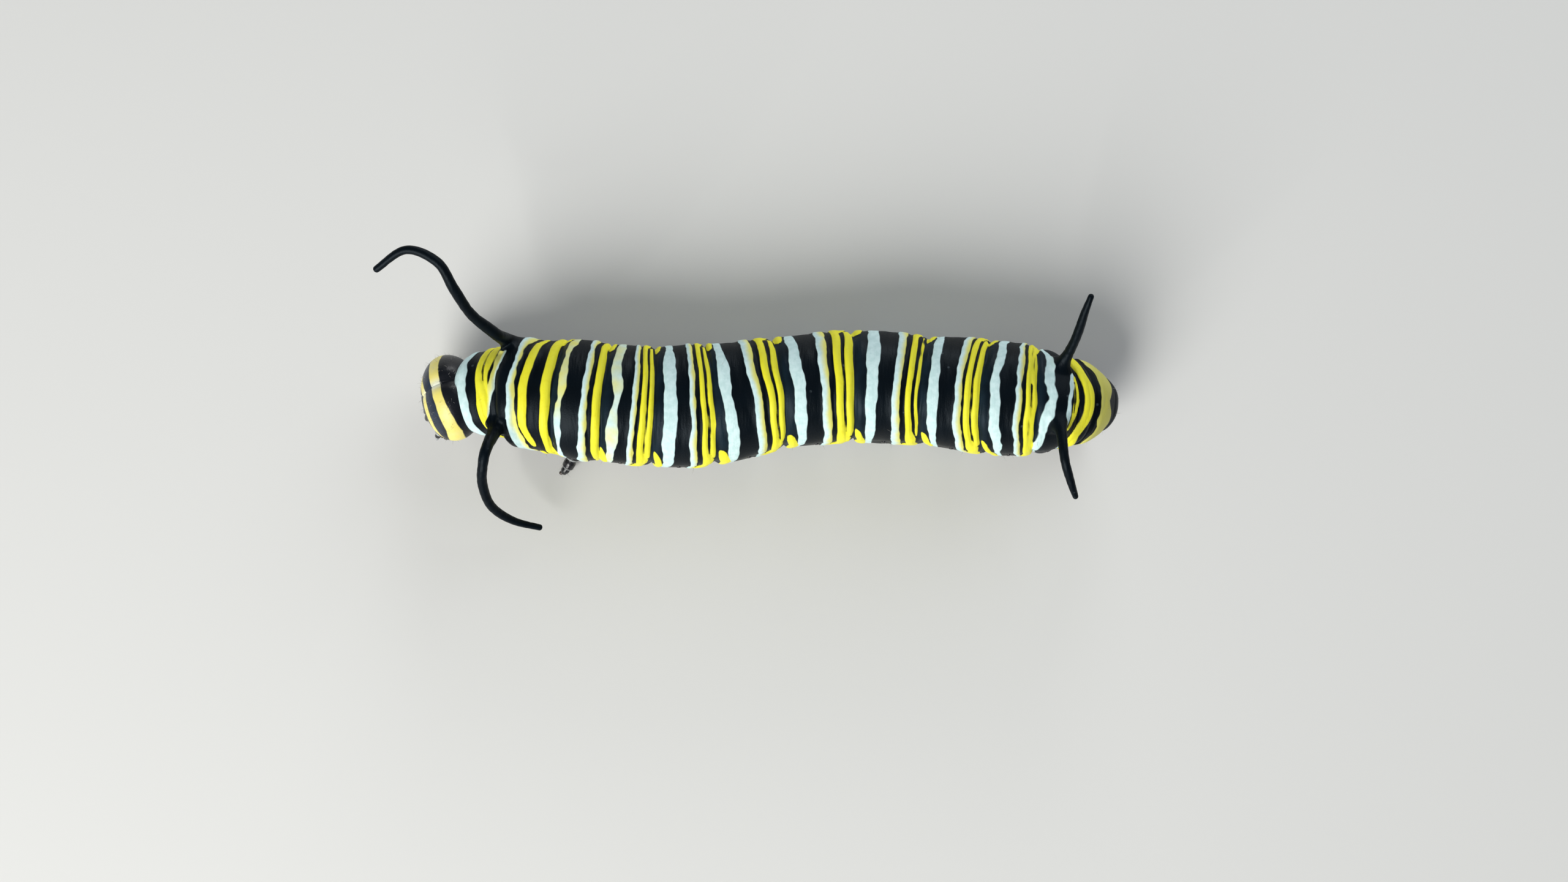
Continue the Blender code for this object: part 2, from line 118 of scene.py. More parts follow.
# Middle of the body at the neck and each fold, its half width and half height there, all
# in millimetres, and its lean in degrees.
FOLDS = (
    ((-12.20, 0.36, 2.72), 1.66, 1.57, -26),
    ((-10.66, 0.43, 2.90), 2.00, 1.86, -19),
    ((-8.52, 0.19, 3.05), 2.48, 2.27, -7),
    ((-6.68, -0.02, 3.12), 2.50, 2.32, 2),
    ((-4.65, -0.18, 3.16), 2.53, 2.36, 5),
    ((-2.18, -0.11, 3.18), 2.57, 2.38, 5),
    ((0.70, 0.37, 3.18), 2.33, 2.38, 5),
    ((3.89, 0.67, 3.18), 2.36, 2.34, 0),
    ((7.03, 0.49, 3.18), 2.29, 2.34, -10),
    ((9.75, 0.22, 3.15), 2.42, 2.34, -16),
    ((11.71, 0.06, 3.04), 2.28, 2.20, -5),
    ((12.98, 0.04, 2.76), 1.94, 1.92, 15),
    ((13.60, 0.05, 2.42), 1.82, 1.70, 23),
    ((14.46, 0.04, 1.86), 1.26, 1.14, 40),
)
TAIL_END = len(FOLDS) - 1
TAIL_LENGTH = 0.80
NECK_LENGTH = 0.55
COLLAR_ROLLS = ((0.14, 0.15, 0.08), (1.20, 0.24, 0.24))
BELLY_DEPTH = 0.90
BELLY_FLATNESS = 0.80
RINGS_ALONG = 400
SIDES = 132
FULL_TURN = 6.28
centres, half_widths, half_heights, leans = (np.array(column, float) for column in zip(*FOLDS))
fold_numbers = np.arange(len(FOLDS))
fold_runs = np.concatenate(([0], np.cumsum(np.linalg.norm(np.diff(centres, axis=0), axis=1))))


def smooth_read(values, places):
    """Read a smooth curve through evenly numbered values at each place."""
    last = len(values) - 1
    ends = [values[0] * 2 - values[1]], [values[last] * 2 - values[last - 1]]
    padded = np.concatenate((ends[0], values, ends[1]))
    first = np.clip(np.floor(places).astype(int), 0, last - 1)
    part = places - first
    if padded.ndim == 2:
        part = part[:, None]
    before, start, end, after = (padded[first + k] for k in range(4))
    return 0.5 * (start * 2 + (end - before) * part
                  + (before * 2 - start * 5 + end * 4 - after) * part ** 2
                  + (start * 3 - before - end * 3 + after) * part ** 3)


def ring_axes(places):
    """Along, across and up directions of the body's cross-section at each place."""
    step = smooth_read(centres, places + 0.05) - smooth_read(centres, places - 0.05)
    yaw = np.arctan2(step[:, 1], step[:, 0])
    lean = np.radians(smooth_read(leans, places))
    along = np.stack((np.cos(yaw) * np.cos(lean), np.sin(yaw) * np.cos(lean), -np.sin(lean)), 1)
    across = np.stack((-np.sin(yaw), np.cos(yaw), np.zeros_like(yaw)), 1)
    up = np.cross(along, across)
    return along, across, up


def wander(seed, count, low, high):
    """A repeatable sum of sines that wanders between about -1 and 1 over the skin."""
    rng = np.random.default_rng(seed)
    waves = [(rng.uniform(low, high), rng.integers(1, 9), rng.uniform(0, FULL_TURN), rng.choice((-1, 1)))
             for _ in range(count)]

    def read(along, angle):
        total = np.zeros_like(along)
        for rate, turns, phase, way in waves:
            total = total + np.sin(along * rate + way * turns * angle + phase)
        return total / math.sqrt(count)
    return read


# Bands of the back: place where each segment's white starts and ends, then the cream
# one, then the double yellow one with the thin black line between its halves.
BANDS = (
    (3, 0.125, 0.365, 0.570, 0.690, 0.742, 0.869, 0.985),
    (4, 0.155, 0.392, 0.619, 0.732, 0.794, 0.897, 1.000),
    (5, 0.124, 0.310, 0.566, 0.699, 0.770, 0.886, 1.000),
    (6, 0.137, 0.308, 0.538, 0.667, 0.735, 0.862, 1.000),
    (7, 0.168, 0.355, 0.598, 0.729, 0.794, 0.911, 0.990),
    (8, 0.124, 0.309, 0.588, 0.722, 0.753, 0.876, 1.000),
    (9, 0.181, 0.383, 0.617, 0.745, 0.798, 0.904, 1.000),
)
# Creases across the back: place along the body, depth and half width in millimetres.
CREASES = [(fold, 0.15, 0.11) for fold in range(1, 13)]
CREASES += [(0.80, 0.08, 0.06), (0.65, 0.04, 0.05), (1.42, 0.07, 0.07), (1.70, 0.04, 0.10),
            (2.755, 0.07, 0.06), (2.05, 0.04, 0.06), (10.23, 0.04, 0.06), (10.87, 0.05, 0.05),
            (11.40, 0.05, 0.06), (12.30, 0.05, 0.08)]
for segment, white_start, _, _, cream_end, yellow_start, split, _ in BANDS:
    CREASES += [(segment + white_start, 0.030, 0.07), (segment + split, 0.070, 0.05),
                (segment + (cream_end + yellow_start) / 2, 0.080, 0.06), (segment + 0.47, 0.022, 0.10)]
TAIL_START = 10.6
TAIL_SWEEP = 0.42
CREASE_SWAY = 0.05
SEGMENT_PUFF = 0.024
SLOW_LUMPS, FINE_LUMPS = 0.018, 0.005
# The flank swells just below the breathing holes and sinks at them: height in
# millimetres, degrees up from the side, and reach in degrees.
FLANK_ROLLS = ((0.10, -24, 11), (-0.05, -2, 9))
slow_wave = wander(4, 7, 0.8, 2.6)
fine_wave = wander(9, 12, 4.0, 11.0)


def skin_points(places, angles):
    """Points of the skin; angle 0 is the right flank and a quarter turn is the back."""
    held = np.clip(places, 0, TAIL_END)
    along, across, up = ring_axes(held)
    base = smooth_read(centres, held)
    beyond = np.clip(places - TAIL_END, 0, 1) * math.pi / 2
    before = np.clip(-places, 0, 1)
    base = base + along * (TAIL_LENGTH * np.sin(beyond) - NECK_LENGTH * np.sin(before))[:, None]
    shrink = np.cos(beyond) * np.cos(before)
    run = np.interp(held, fold_numbers, fold_runs)
    sink = np.zeros_like(places)
    side = np.sin(angles)
    for place, depth, reach in CREASES:
        middle = (np.interp(place, fold_numbers, fold_runs)
                  + CREASE_SWAY * slow_wave(np.full_like(places, place * 3.1), angles))
        if place > TAIL_START:
            middle -= TAIL_SWEEP * (1 - np.maximum(side, 0))
        fade = 1.0 if isinstance(place, int) else np.clip(0.35 + side * 1.3, 0, 1)
        sink += depth * fade / (1 + ((run - middle) / reach) ** 2)
    flank = np.degrees(np.arcsin(np.clip(side, -1, 1)))
    ridge = sum(size * np.exp(-((flank - level) / reach) ** 2) for size, level, reach in FLANK_ROLLS)
    puff = 1 + SEGMENT_PUFF * np.sin(math.pi * (held % 1.0)) ** 0.5
    lumps = SLOW_LUMPS * slow_wave(run, angles) + FINE_LUMPS * fine_wave(run, angles)
    collar = sum(size * np.exp(-((held - place) / reach) ** 2) for place, reach, size in COLLAR_ROLLS)
    size_w = (smooth_read(half_widths, held) * puff - sink + ridge + lumps + collar) * shrink
    size_h = (smooth_read(half_heights, held) * puff - sink + lumps + collar) * shrink
    down = np.where(side >= 0, side, -BELLY_DEPTH * np.abs(side) ** BELLY_FLATNESS)
    return (base + across * (size_w * np.cos(angles))[:, None]
            + up * (size_h * down)[:, None] + ORIGIN_SHIFT)


skin_places = np.concatenate((np.linspace(-1, 0, 8)[:-1], np.linspace(0, TAIL_END, RINGS_ALONG),
                              TAIL_END + np.linspace(0, 1, 15)[1:-1]))
skin_rows = len(skin_places)
turns = np.linspace(0, 2 * math.pi, SIDES, endpoint=False)
grid_places, grid_angles = (part.ravel() for part in np.meshgrid(skin_places, turns, indexing="ij"))
skin = skin_points(grid_places, grid_angles)

# Marks of the skin: its white, cream and yellow bands, which are colour in the hide and
# stand up from the black a little. Each is laid as a depth in millimetres inside its edge.
# Below: how far the skin stands up inside a mark of each colour, how far in from an edge
# it has its full height, and the millimetres to a degree round the body.
MARK_RISE = {"white": 0.015, "topped": 0.020, "blotched": 0.020, "straw": 0.045, "cream": 0.050,
             "fading": 0.050, "yellow": 0.062, "slit": 0.0}
RISE_REACH = 0.15
ARC_MM = 0.041
SOFT_MARKS = ("yellow", "cream", "slit")
MARK_CORNER, SLIT_CORNER = 0.16, 0.03
SLIT_MARGIN, SLIT_RISE = 0.05, 0.3


def run_at(places):
    """Distance along the back to each place, also in the neck's lip and the tail's end."""
    return (np.interp(places, fold_numbers, fold_runs) + np.minimum(places, 0) * NECK_LENGTH
            + np.maximum(places - TAIL_END, 0) * TAIL_LENGTH)


def add_mark(fields, colour, sides, rows, places, angles, wave):
    """Lay one mark into the pigment fields, which hold the depth in millimetres inside
    the nearest mark. A row is degrees down from the back's midline, front and rear edge;
    sides says whether it is the right flank that counts up, the left one, or both."""
    white, yellow, cream, rise = fields
    run = run_at(places)
    down = 90 - np.degrees(angles)
    down = np.where(down < -180, down + 360, down)
    down = np.abs(down) if sides == "both" else down * (-1 if sides == "left" else 1)
    downs, fronts, rears = (np.array(column) for column in zip(*rows))
    edge_wave = wander(wave, 6, 0.1, 0.2)
    # The two edges of a band sway alike in the thin bands and apart in the white ones.
    sway, gap = (0.022, 0.0) if colour in SOFT_MARKS else (0.045, 9.0)
    if colour == "blotched":
        sway = 0.075
    start, stop = (run_at(np.interp(down, downs, edge)) + sway * edge_wave(np.full_like(places, at), angles)
                   for edge, at in ((fronts, 1.0), (rears, 1.0 + gap)))
    arc = (downs[-1] - down) * ARC_MM
    if downs[0] != 0:
        arc = np.minimum(arc, (down - downs[0]) * ARC_MM)
    half = (stop - start) / 2
    across = half - np.abs(run - (start + stop) / 2)
    corner = SLIT_CORNER if colour == "slit" else MARK_CORNER
    rounded = corner - np.hypot(np.minimum(across - corner, 0), np.minimum(arc - corner, 0))
    inside = np.where((across < corner) & (arc < corner), rounded, np.minimum(across, arc))
    if colour == "slit":
        np.minimum(white, -inside, out=white)
        np.minimum(yellow, -inside, out=yellow)
        rise[inside > -SLIT_MARGIN] *= SLIT_RISE
        return
    share = np.clip(inside / RISE_REACH, 0, 1)
    np.maximum(rise, MARK_RISE[colour] * np.sqrt(share * (2 - share)), out=rise)
    if colour == "yellow":
        np.maximum(yellow, inside, out=yellow)
        return
    closer = inside > white
    white[closer] = inside[closer]
    share = np.clip((run - start) / np.maximum(stop - start, 0.05), 0, 1)
    blend = {"cream": share, "fading": 1.25 - share,
             "topped": np.clip((down + 48) / 60, 0, 0.70)}.get(colour)
    if blend is None:
        blend = np.full_like(run, {"white": 0.0, "blotched": 0.50, "straw": 0.92}[colour])
    cream[closer] = blend[closer]


def pigment(places, angles):
    """White depth, yellow depth, turn from white to cream, and rise at each place."""
    fields = [np.full_like(places, start) for start in (-2.0, -2.0, 0.0, 0.0)]
    # The thorax and the tail, whose bands are not alike on the two flanks.
    marks = [
        ("white", "both", ((0, -0.60, 0.290), (80, -0.60, 0.285), (112, -0.40, 0.24))),
        ("yellow", "right", ((-62, 0.50, 0.555), (-50, 0.490, 0.68), (-20, 0.49, 0.80), (-2, 0.53, 0.85),
                             (10, 0.54, 0.865), (40, 0.545, 0.905), (77, 0.50, 0.87), (106, 0.55, 0.80))),
        ("fading", "right", ((-61, 0.51, 0.565), (-41, 0.60, 0.788), (-20, 0.72, 0.921), (-2, 0.80, 0.977),
                             (14, 0.862, 1.040), (30, 0.895, 1.110), (46, 0.91, 1.125), (60, 0.91, 1.07))),
        ("slit", "right", ((10, 0.725, 0.740), (31, 0.690, 0.722), (50, 0.678, 0.712), (84, 0.648, 0.682))),
        ("slit", "right", ((4, 0.845, 0.855), (14, 0.855, 0.880), (31, 0.880, 0.912), (66, 0.876, 0.906))),
        ("yellow", "left", ((76, 0.62, 0.92), (92, 0.56, 0.90), (112, 0.60, 0.86))),
        ("yellow", "right", ((80, 0.84, 1.02), (104, 0.83, 1.01))),
        ("cream", "right", ((-118, 1.40, 1.60), (-84, 1.31, 1.60), (-60, 1.265, 1.530), (-38, 1.268, 1.478),
                            (-17, 1.262, 1.428), (0, 1.270, 1.398), (21, 1.286, 1.401), (45, 1.297, 1.396),
                            (60, 1.270, 1.43), (78, 1.250, 1.49), (112, 1.32, 1.53))),
        ("yellow", "right", ((-73, 1.63, 1.71), (-60, 1.56, 1.695), (-40, 1.49, 1.63), (0, 1.452, 1.595),
                             (60, 1.52, 1.65), (78, 1.60, 1.69))),
        ("yellow", "right", ((-112, 1.62, 1.78), (-92, 1.66, 1.76))),
        ("yellow", "right", ((-118, 1.90, 2.02), (-84, 1.88, 2.03), (-66, 1.86, 1.985),
                             (0, 1.812, 1.965), (80, 1.82, 1.98), (118, 1.84, 1.97))),
        ("yellow", "right", ((66, 1.88, 2.10), (84, 1.88, 2.16), (104, 1.90, 2.12))),
        ("topped", "right", ((-124, 2.07, 2.20), (-70, 2.08, 2.22), (0, 2.080, 2.250), (50, 2.10, 2.275),
                            (74, 2.16, 2.34), (84, 2.14, 2.33), (116, 2.08, 2.22))),
        ("yellow", "left", ((70, 1.97, 2.11), (86, 1.97, 2.16), (106, 1.98, 2.12))),
        ("cream", "right", ((-124, 2.52, 2.74), (-82, 2.50, 2.77), (-66, 2.55, 2.745), (0, 2.553, 2.712),
                            (60, 2.57, 2.72), (80, 2.60, 2.79), (118, 2.56, 2.72))),
        ("yellow", "right", ((-116, 2.90, 3.06), (-84, 2.90, 3.06), (-62, 2.83, 2.985), (0, 2.795, 2.950),
                             (62, 2.82, 2.97), (80, 2.90, 3.03), (112, 2.88, 3.00))),
        ("yellow", "right", ((-128, 2.96, 3.16), (-80, 2.98, 3.18))),
        ("white", "right", ((-122, 9.90, 10.06), (-90, 9.90, 10.09), (-74, 9.93, 10.11), (-61, 9.97, 10.17),
                            (-54, 10.03, 10.20), (-43, 10.097, 10.26), (-33, 10.088, 10.30),
                            (-21, 10.145, 10.34), (-9, 10.189, 10.375), (-1, 10.246, 10.39),
                            (6, 10.190, 10.408), (34, 10.150, 10.395), (44, 10.165, 10.385),
                            (57, 10.13, 10.325), (70, 10.04, 10.19), (84, 10.00, 10.14), (122, 9.95, 10.10))),
        ("yellow", "left", ((56, 9.90, 9.98), (64, 9.87, 10.01), (76, 9.84, 9.99), (90, 9.84, 9.98),
                            (118, 9.86, 9.98))),
        ("yellow", "right", ((58, 9.92, 10.02), (68, 9.93, 10.09), (84, 9.90, 10.06), (118, 9.90, 10.02))),
        ("white", "right", ((-36, 10.60, 10.65), (-28, 10.607, 10.72), (-12, 10.622, 10.77),
                            (6, 10.672, 10.82), (27, 10.704, 10.85), (36, 10.78, 10.85))),
        ("yellow", "right", ((-50, 10.61, 10.67), (-34, 10.69, 10.80), (-20, 10.74, 10.905),
                             (-4, 10.79, 10.985), (14, 10.83, 10.95), (32, 10.84, 10.90))),
        ("slit", "right", ((-20, 10.775, 10.81), (-4, 10.815, 10.86), (20, 10.835, 10.875))),
        ("white", "right", ((-102, 10.55, 10.76), (-76, 10.57, 10.74), (-63, 10.64, 10.76))),
        ("white", "right", ((84, 10.56, 10.70), (104, 10.56, 10.74))),
        ("yellow", "right", ((-100, 10.82, 11.20), (-66, 10.83, 11.25), (-56, 10.90, 11.26),
                             (-40, 11.016, 11.40), (-32, 11.06, 11.53), (-20, 11.11, 11.74),
                             (-12, 11.13, 11.83), (5, 11.155, 11.86), (15, 11.150, 11.76), (21, 11.12, 11.65),
                             (29, 11.05, 11.52), (40, 10.95, 11.38), (52, 10.87, 11.27), (66, 10.85, 11.22),
                             (100, 10.84, 11.18))),
        ("straw", "right", ((-112, 11.74, 12.02), (-80, 11.86, 12.42), (-62, 12.06, 12.82),
                            (-41, 12.22, 12.89), (-18, 12.18, 12.76), (0, 12.155, 12.61), (18, 12.14, 12.75),
                            (40, 12.10, 12.93), (58, 11.98, 12.95), (74, 11.86, 12.60), (104, 11.74, 12.06))),
    ]
    # The first seven abdomen segments, one pattern with each one's own widths. Here the
    # edges are counted from the segment's front fold.
    for segment, w0, w1, c0, c1, y0, split, y1 in BANDS:
        gap = 0.024 if segment == 7 else 0.019
        before, after = split - gap, split + gap
        pattern = [
            ("blotched" if segment == 3 else "white", "both",
             ((0, w0, w1), (44, w0, w1), (72, w0 + 0.02, w1 - 0.03), (95, w0 + 0.01, w1 - 0.07),
              (128, w0, w1 - 0.10))),
            ("yellow", "right", ((57, 0.035, 0.065), (63, 0.005, 0.105), (71, -0.005, 0.125),
                                 (82, 0.02, 0.14), (104, 0.01, w0 + 0.02), (122, 0.02, w0 - 0.01))),
            ("yellow", "left", ((55, 0.030, 0.065), (62, 0.016, 0.118), (72, 0.024, 0.155),
                                (84, 0.055, 0.190), (104, 0.03, w0 + 0.02), (122, 0.02, w0 - 0.01))),
            ("cream", "both", ((0, c0 - 0.01, c1 - 0.006), (80, c0 - 0.02, c1 - 0.006),
                               (124, c0 - 0.06, c1 - 0.05))),
            ("yellow", "right", ((-114, y0 - 0.04, split - 0.03), (-98, y0 - 0.03, split + 0.015),
                                 (-82, y0 - 0.01, y1 - 0.075), (-70, y0 - 0.01, y1 - 0.050),
                                 (-58, y0, before), (0, y0, before), (45, y0, before - 0.006),
                                 (68, y0 - 0.005, before - 0.008), (78, y0 - 0.01, y1 - 0.060),
                                 (90, y0 - 0.02, y1 - 0.080), (100, y0 - 0.03, split + 0.015),
                                 (114, y0 - 0.04, split - 0.03))),
            ("yellow", "right", ((-68, after - 0.01, y1 - 0.035), (-46, after, y1 - 0.006), (0, after, y1),
                                 (45, after + 0.006, y1 - 0.008), (62, after + 0.010, y1 - 0.018),
                                 (72, after + 0.006, y1 - 0.034))),
            ("yellow", "both", ((96, c1 - 0.05, y0 + 0.05), (116, c1 - 0.07, y0 + 0.03))),
        ]
        if segment == 9:
            pattern += [("yellow", "right", [(down, split - 0.02, split + 0.02) for down in span])
                        for span in ((-100, -9), (12, 80))]
        marks += [(colour, sides, [(down, segment + front, segment + rear) for down, front, rear in rows])
                  for colour, sides, rows in pattern]
    for number, (colour, sides, rows) in enumerate(marks):
        wave = 40 + int(rows[0][1]) if colour in SOFT_MARKS else 60 + number
        add_mark(fields, colour, sides, rows, places, angles, wave)
    return fields


white, yellow, cream, rise = pigment(grid_places, grid_angles)
# The black takes a painted bluish sheen, a lighter blue-black, on both sides of each fold, from the second
# thorax segment on.
within = grid_places - np.floor(grid_places)
painted_sheen = np.clip(1.15 - np.abs(within - 0.05) / 0.16, 0, 1) + np.clip((within - 0.93) / 0.05, 0, 1)
painted_sheen = np.where((grid_places > 2) & (grid_places < 10.95), np.clip(painted_sheen, 0, 1), 0.0)
skin_grid = skin.reshape(skin_rows, SIDES, 3)
slope = np.cross(np.roll(skin_grid, -1, 1) - np.roll(skin_grid, 1, 1), np.gradient(skin_grid, axis=0))
slope /= np.linalg.norm(slope, axis=2)[..., None]
skin = skin + slope.reshape(-1, 3) * rise[:, None]

# The skin's own list of points grows as limbs are joined on, with its pigment beside it.
limb_points, limb_pigment, limb_faces = [], [], []
open_cells = np.zeros((skin_rows, SIDES), bool)
point_count = len(skin)


def open_window(row_first, row_last, col_first, col_last):
    """Open a window in the skin's grid and give its rim in order."""
    columns = np.arange(col_first, col_last)
    open_cells[row_first:row_last, columns % SIDES] = True
    rim = [(row_first, col) for col in range(col_first, col_last)]
    rim += [(row, col_last) for row in range(row_first, row_last)]
    rim += [(row_last, col) for col in range(col_last, col_first, -1)]
    rim += [(row, col_first) for row in range(row_last, row_first, -1)]
    return np.array([row * SIDES + col % SIDES for row, col in rim])


def even_turns(turn):
    """The turns round a rim, evened out to equal steps that start where the rim does."""
    unwound = np.unwrap(turn)
    way = 1 if unwound[-1] > unwound[0] else -1
    steps = way * 2 * math.pi * np.arange(len(turn)) / len(turn)
    return unwound, steps + (unwound - steps).mean()


def join_limb(rim, rings, pigments, tip):
    """Join the rings of a limb onto a rim and close its end round a tip."""
    global point_count
    count = len(rim)
    numbers = [rim] + [point_count + count * i + np.arange(count) for i in range(len(rings))]
    for lower, upper in zip(numbers, numbers[1:]):
        limb_faces.extend(np.stack((lower, np.roll(lower, -1), np.roll(upper, -1), upper), 1).tolist())
    last = numbers[-1]
    apex = point_count + count * len(rings)
    limb_faces.extend([(int(a), int(b), apex) for a, b in zip(last, np.roll(last, -1))])
    limb_points.extend(list(rings) + [np.array([tip])])
    limb_pigment.extend(list(pigments) + [pigments[-1][:1]])
    point_count = apex + 1


# False legs: four pairs under the abdomen and the claspers at the tail end. Each is a
# soft stump of the same hide, broad at the root and swollen at the flat foot.
PROLEG_SPREAD = 1.32
PROLEG_STATIONS = (
    (0.00, 0.78, 0.72), (0.20, 0.74, 0.70), (0.34, 0.63, 0.58), (0.40, 0.61, 0.56), (0.50, 0.60, 0.55),
    (0.66, 0.49, 0.45), (0.74, 0.48, 0.44), (0.84, 0.56, 0.50), (0.93, 0.56, 0.50), (1.00, 0.50, 0.44),
)
CLASPER_PLACE = 13.38
CLASPER_SPREAD = 0.98
CLASPER_SIZE = 0.96
CLASPER_REACH = 0.42
FOOT_RINGS = 24
FOOT_WINDOW = 1.12
WINDOW_TOP = 2.2
SOLE_EDGE = 0.035
skin_grid = skin.reshape(skin_rows, SIDES, 3)
foot_soles = []
middle_line = np.linspace(0, TAIL_END, 600)
middle_points = smooth_read(centres, middle_line) + ORIGIN_SHIFT


def grow_proleg(along, spread, size, reach):
    """Open the flank over a foot and draw the hide down to a flat sole on the floor."""
    side = 1 if spread > 0 else -1
    along = along + ORIGIN_SHIFT[0]
    middle = np.interp(along, middle_points[:, 0], middle_points[:, 1]) + spread
    root_x, root_y = (radius * size * FOOT_WINDOW for radius in PROLEG_STATIONS[0][1:])
    offset = np.hypot((skin_grid[..., 0] - along) / root_x, (skin_grid[..., 1] - middle) / root_y)
    under = (offset < 1) & (skin_grid[..., 2] < WINDOW_TOP)
    under[:, :SIDES // 2] = False
    rows, columns = np.nonzero(under)
    rim = open_window(rows.min(), rows.max(), columns.min(), columns.max())
    rim_points = skin[rim]
    turn, even = even_turns(np.arctan2((rim_points[:, 1] - middle) / root_y,
                                       (rim_points[:, 0] - along) / root_x))
    shares, radii_x, radii_y = (np.array(column) for column in zip(*PROLEG_STATIONS))
    top = rim_points[:, 2].mean()
    rings, pigments = [], []
    rim_fields = np.stack((white[rim], yellow[rim], cream[rim]), 1)
    for step in range(1, FOOT_RINGS + 1):
        share = step / FOOT_RINGS
        spin = turn + (even - turn) * min(1, share * 3)
        hold = (1 - min(1, share / 0.30)) ** 2
        radius_x, radius_y = (np.interp(share, shares, radii) * size for radii in (radii_x, radii_y))
        # The foot is flatter on its inner side, where its hooks are, and the rings turn
        # from the rim's own shape to level ones on the way down.
        inner = 1 - 0.16 * max(0, share - 0.7) / 0.3 * np.exp(-((spin + side * math.pi / 2) / 0.7) ** 2)
        level = min(1, max(0, (share - 0.3) / 0.4))
        height = (rim_points[:, 2] + (top - rim_points[:, 2]) * level) * (1 - share)
        lobes = 1 + 0.02 * np.sin(spin * 3 + along) + 0.015 * np.sin(share * 30 + spin)
        ring = np.stack((along + reach * share + radius_x * np.cos(spin) * inner * lobes,
                         middle - side * 0.10 * (1 - share) + radius_y * np.sin(spin) * inner * lobes,
                         height), 1)
        ring[:, :2] += (rim_points[:, :2] - ring[:, :2]) * hold
        rings.append(ring)
        # A white oval lies on the outer side of each foot's base, but not on the claspers.
        fade = min(1, step / 4)
        oval = 0.40 - np.hypot((ring[:, 0] - along) * 0.58, (ring[:, 2] - top * 0.80) * 0.95)
        oval = np.where(((ring[:, 1] - middle) * side > 0) & (reach == 0), oval, -1.0)
        own = np.stack((oval, np.full(len(rim), -1.0), np.zeros(len(rim))), 1)
        pigments.append(rim_fields * (1 - fade) + own * fade)
    sole = rings[-1].copy()
    centre = sole.mean(0)
    for shrink in (0.92, 0.60, 0.25):
        pad = centre + (sole - centre) * shrink
        pad[:, 2] = 0.0
        rings.append(pad)
        pigments.append(pigments[-1])
    rings[FOOT_RINGS - 1][:, 2] = SOLE_EDGE
    join_limb(rim, rings, pigments, (centre[0], centre[1], 0.0))
    foot_soles.append((centre, side, size))


for segment in (5, 6, 7, 8):
    for side in (-1, 1):
        grow_proleg((centres[segment, 0] + centres[segment + 1, 0]) / 2, side * PROLEG_SPREAD, 1.0, 0.0)
for side in (-1, 1):
    grow_proleg(CLASPER_PLACE, side * CLASPER_SPREAD, CLASPER_SIZE, CLASPER_REACH)

# Feelers: two long ones behind the head and two short ones near the tail, soft black
# horns of the same hide, each rising from a low mound and tapering to a blunt tip.
# Each is its place and degrees from the midline, the points it passes, its radius at the
# root, the middle and the tip, its rings, and how far from the root the bands stop.
FEELERS = (
    ((1.075, 64), ((-10.42, 1.78, 4.20), (-11.04, 2.58, 5.4), (-11.92, 3.28, 6.8), (-12.48, 4.18, 8.0),
                   (-13.06, 5.18, 8.7), (-14.33, 5.66, 8.8), (-15.72, 4.92, 8.1)),
     (0.33, 0.22, 0.14), 104, 0.54),
    ((0.93, -50), ((-10.72, -0.55, 4.30), (-11.41, -1.88, 5.2), (-11.67, -2.83, 4.9), (-11.76, -3.62, 4.2),
                   (-11.49, -4.49, 3.3), (-10.69, -5.06, 2.3), (-9.54, -5.35, 1.5)),
     (0.32, 0.21, 0.13), 104, 0.50),
    ((10.55, 41), ((12.66, 1.15, 4.00), (13.14, 2.42, 5.6), (13.40, 3.41, 6.6), (13.63, 4.1, 7.1)),
     (0.30, 0.20, 0.12), 64, 0.36),
    ((10.45, -30.5), ((12.50, -0.80, 4.10), (12.65, -2.42, 5.15), (12.98, -3.46, 4.75), (13.29, -4.19, 4.2)),
     (0.30, 0.20, 0.12), 64, 0.36),
)
FEELER_ROOT = 0.58
FEELER_SKIRT = 1.0
FEELER_EASE = 0.22
FEELER_TIP = 0.11
HIDE_BLUR = 0.045
FEELER_BEND = 1.9
PATTERN_REACH = 0.8
foot_parts = len(limb_points)


def unit(vector):
    """The direction of a vector, one long."""
    return vector / np.linalg.norm(vector)


def outward(row, column):
    """Outward direction of the skin at a point of its grid."""
    along = skin_grid[row + 2, column] - skin_grid[row - 2, column]
    around = skin_grid[row, (column + 2) % SIDES] - skin_grid[row, (column - 2) % SIDES]
    return unit(np.cross(around, along))


def under_limb(ring, reach, root, normal, row, column, clear):
    """Pigment of the hide that a ring was drawn from, fading out toward the root."""
    rows = np.arange(row - 12, row + 13)[:, None]
    columns = np.arange(column - 9, column + 10)[None, :] % SIDES
    patch = (rows * SIDES + columns).ravel()
    far = ((skin[patch][None] - ring[:, None]) ** 2).sum(2)
    share = np.exp((far.min(1)[:, None] - far) / (2 * HIDE_BLUR ** 2))
    share /= share.sum(1)[:, None]
    offset = ring - root
    gap = np.linalg.norm(offset - (offset @ normal)[:, None] * normal, axis=1) - clear
    gap = np.minimum(gap, 0.45 - reach)
    own_white, own_yellow, own_cream = (share @ field[patch] for field in (white, yellow, cream))
    return np.stack((np.minimum(own_white, gap), np.minimum(own_yellow, gap), own_cream), 1)


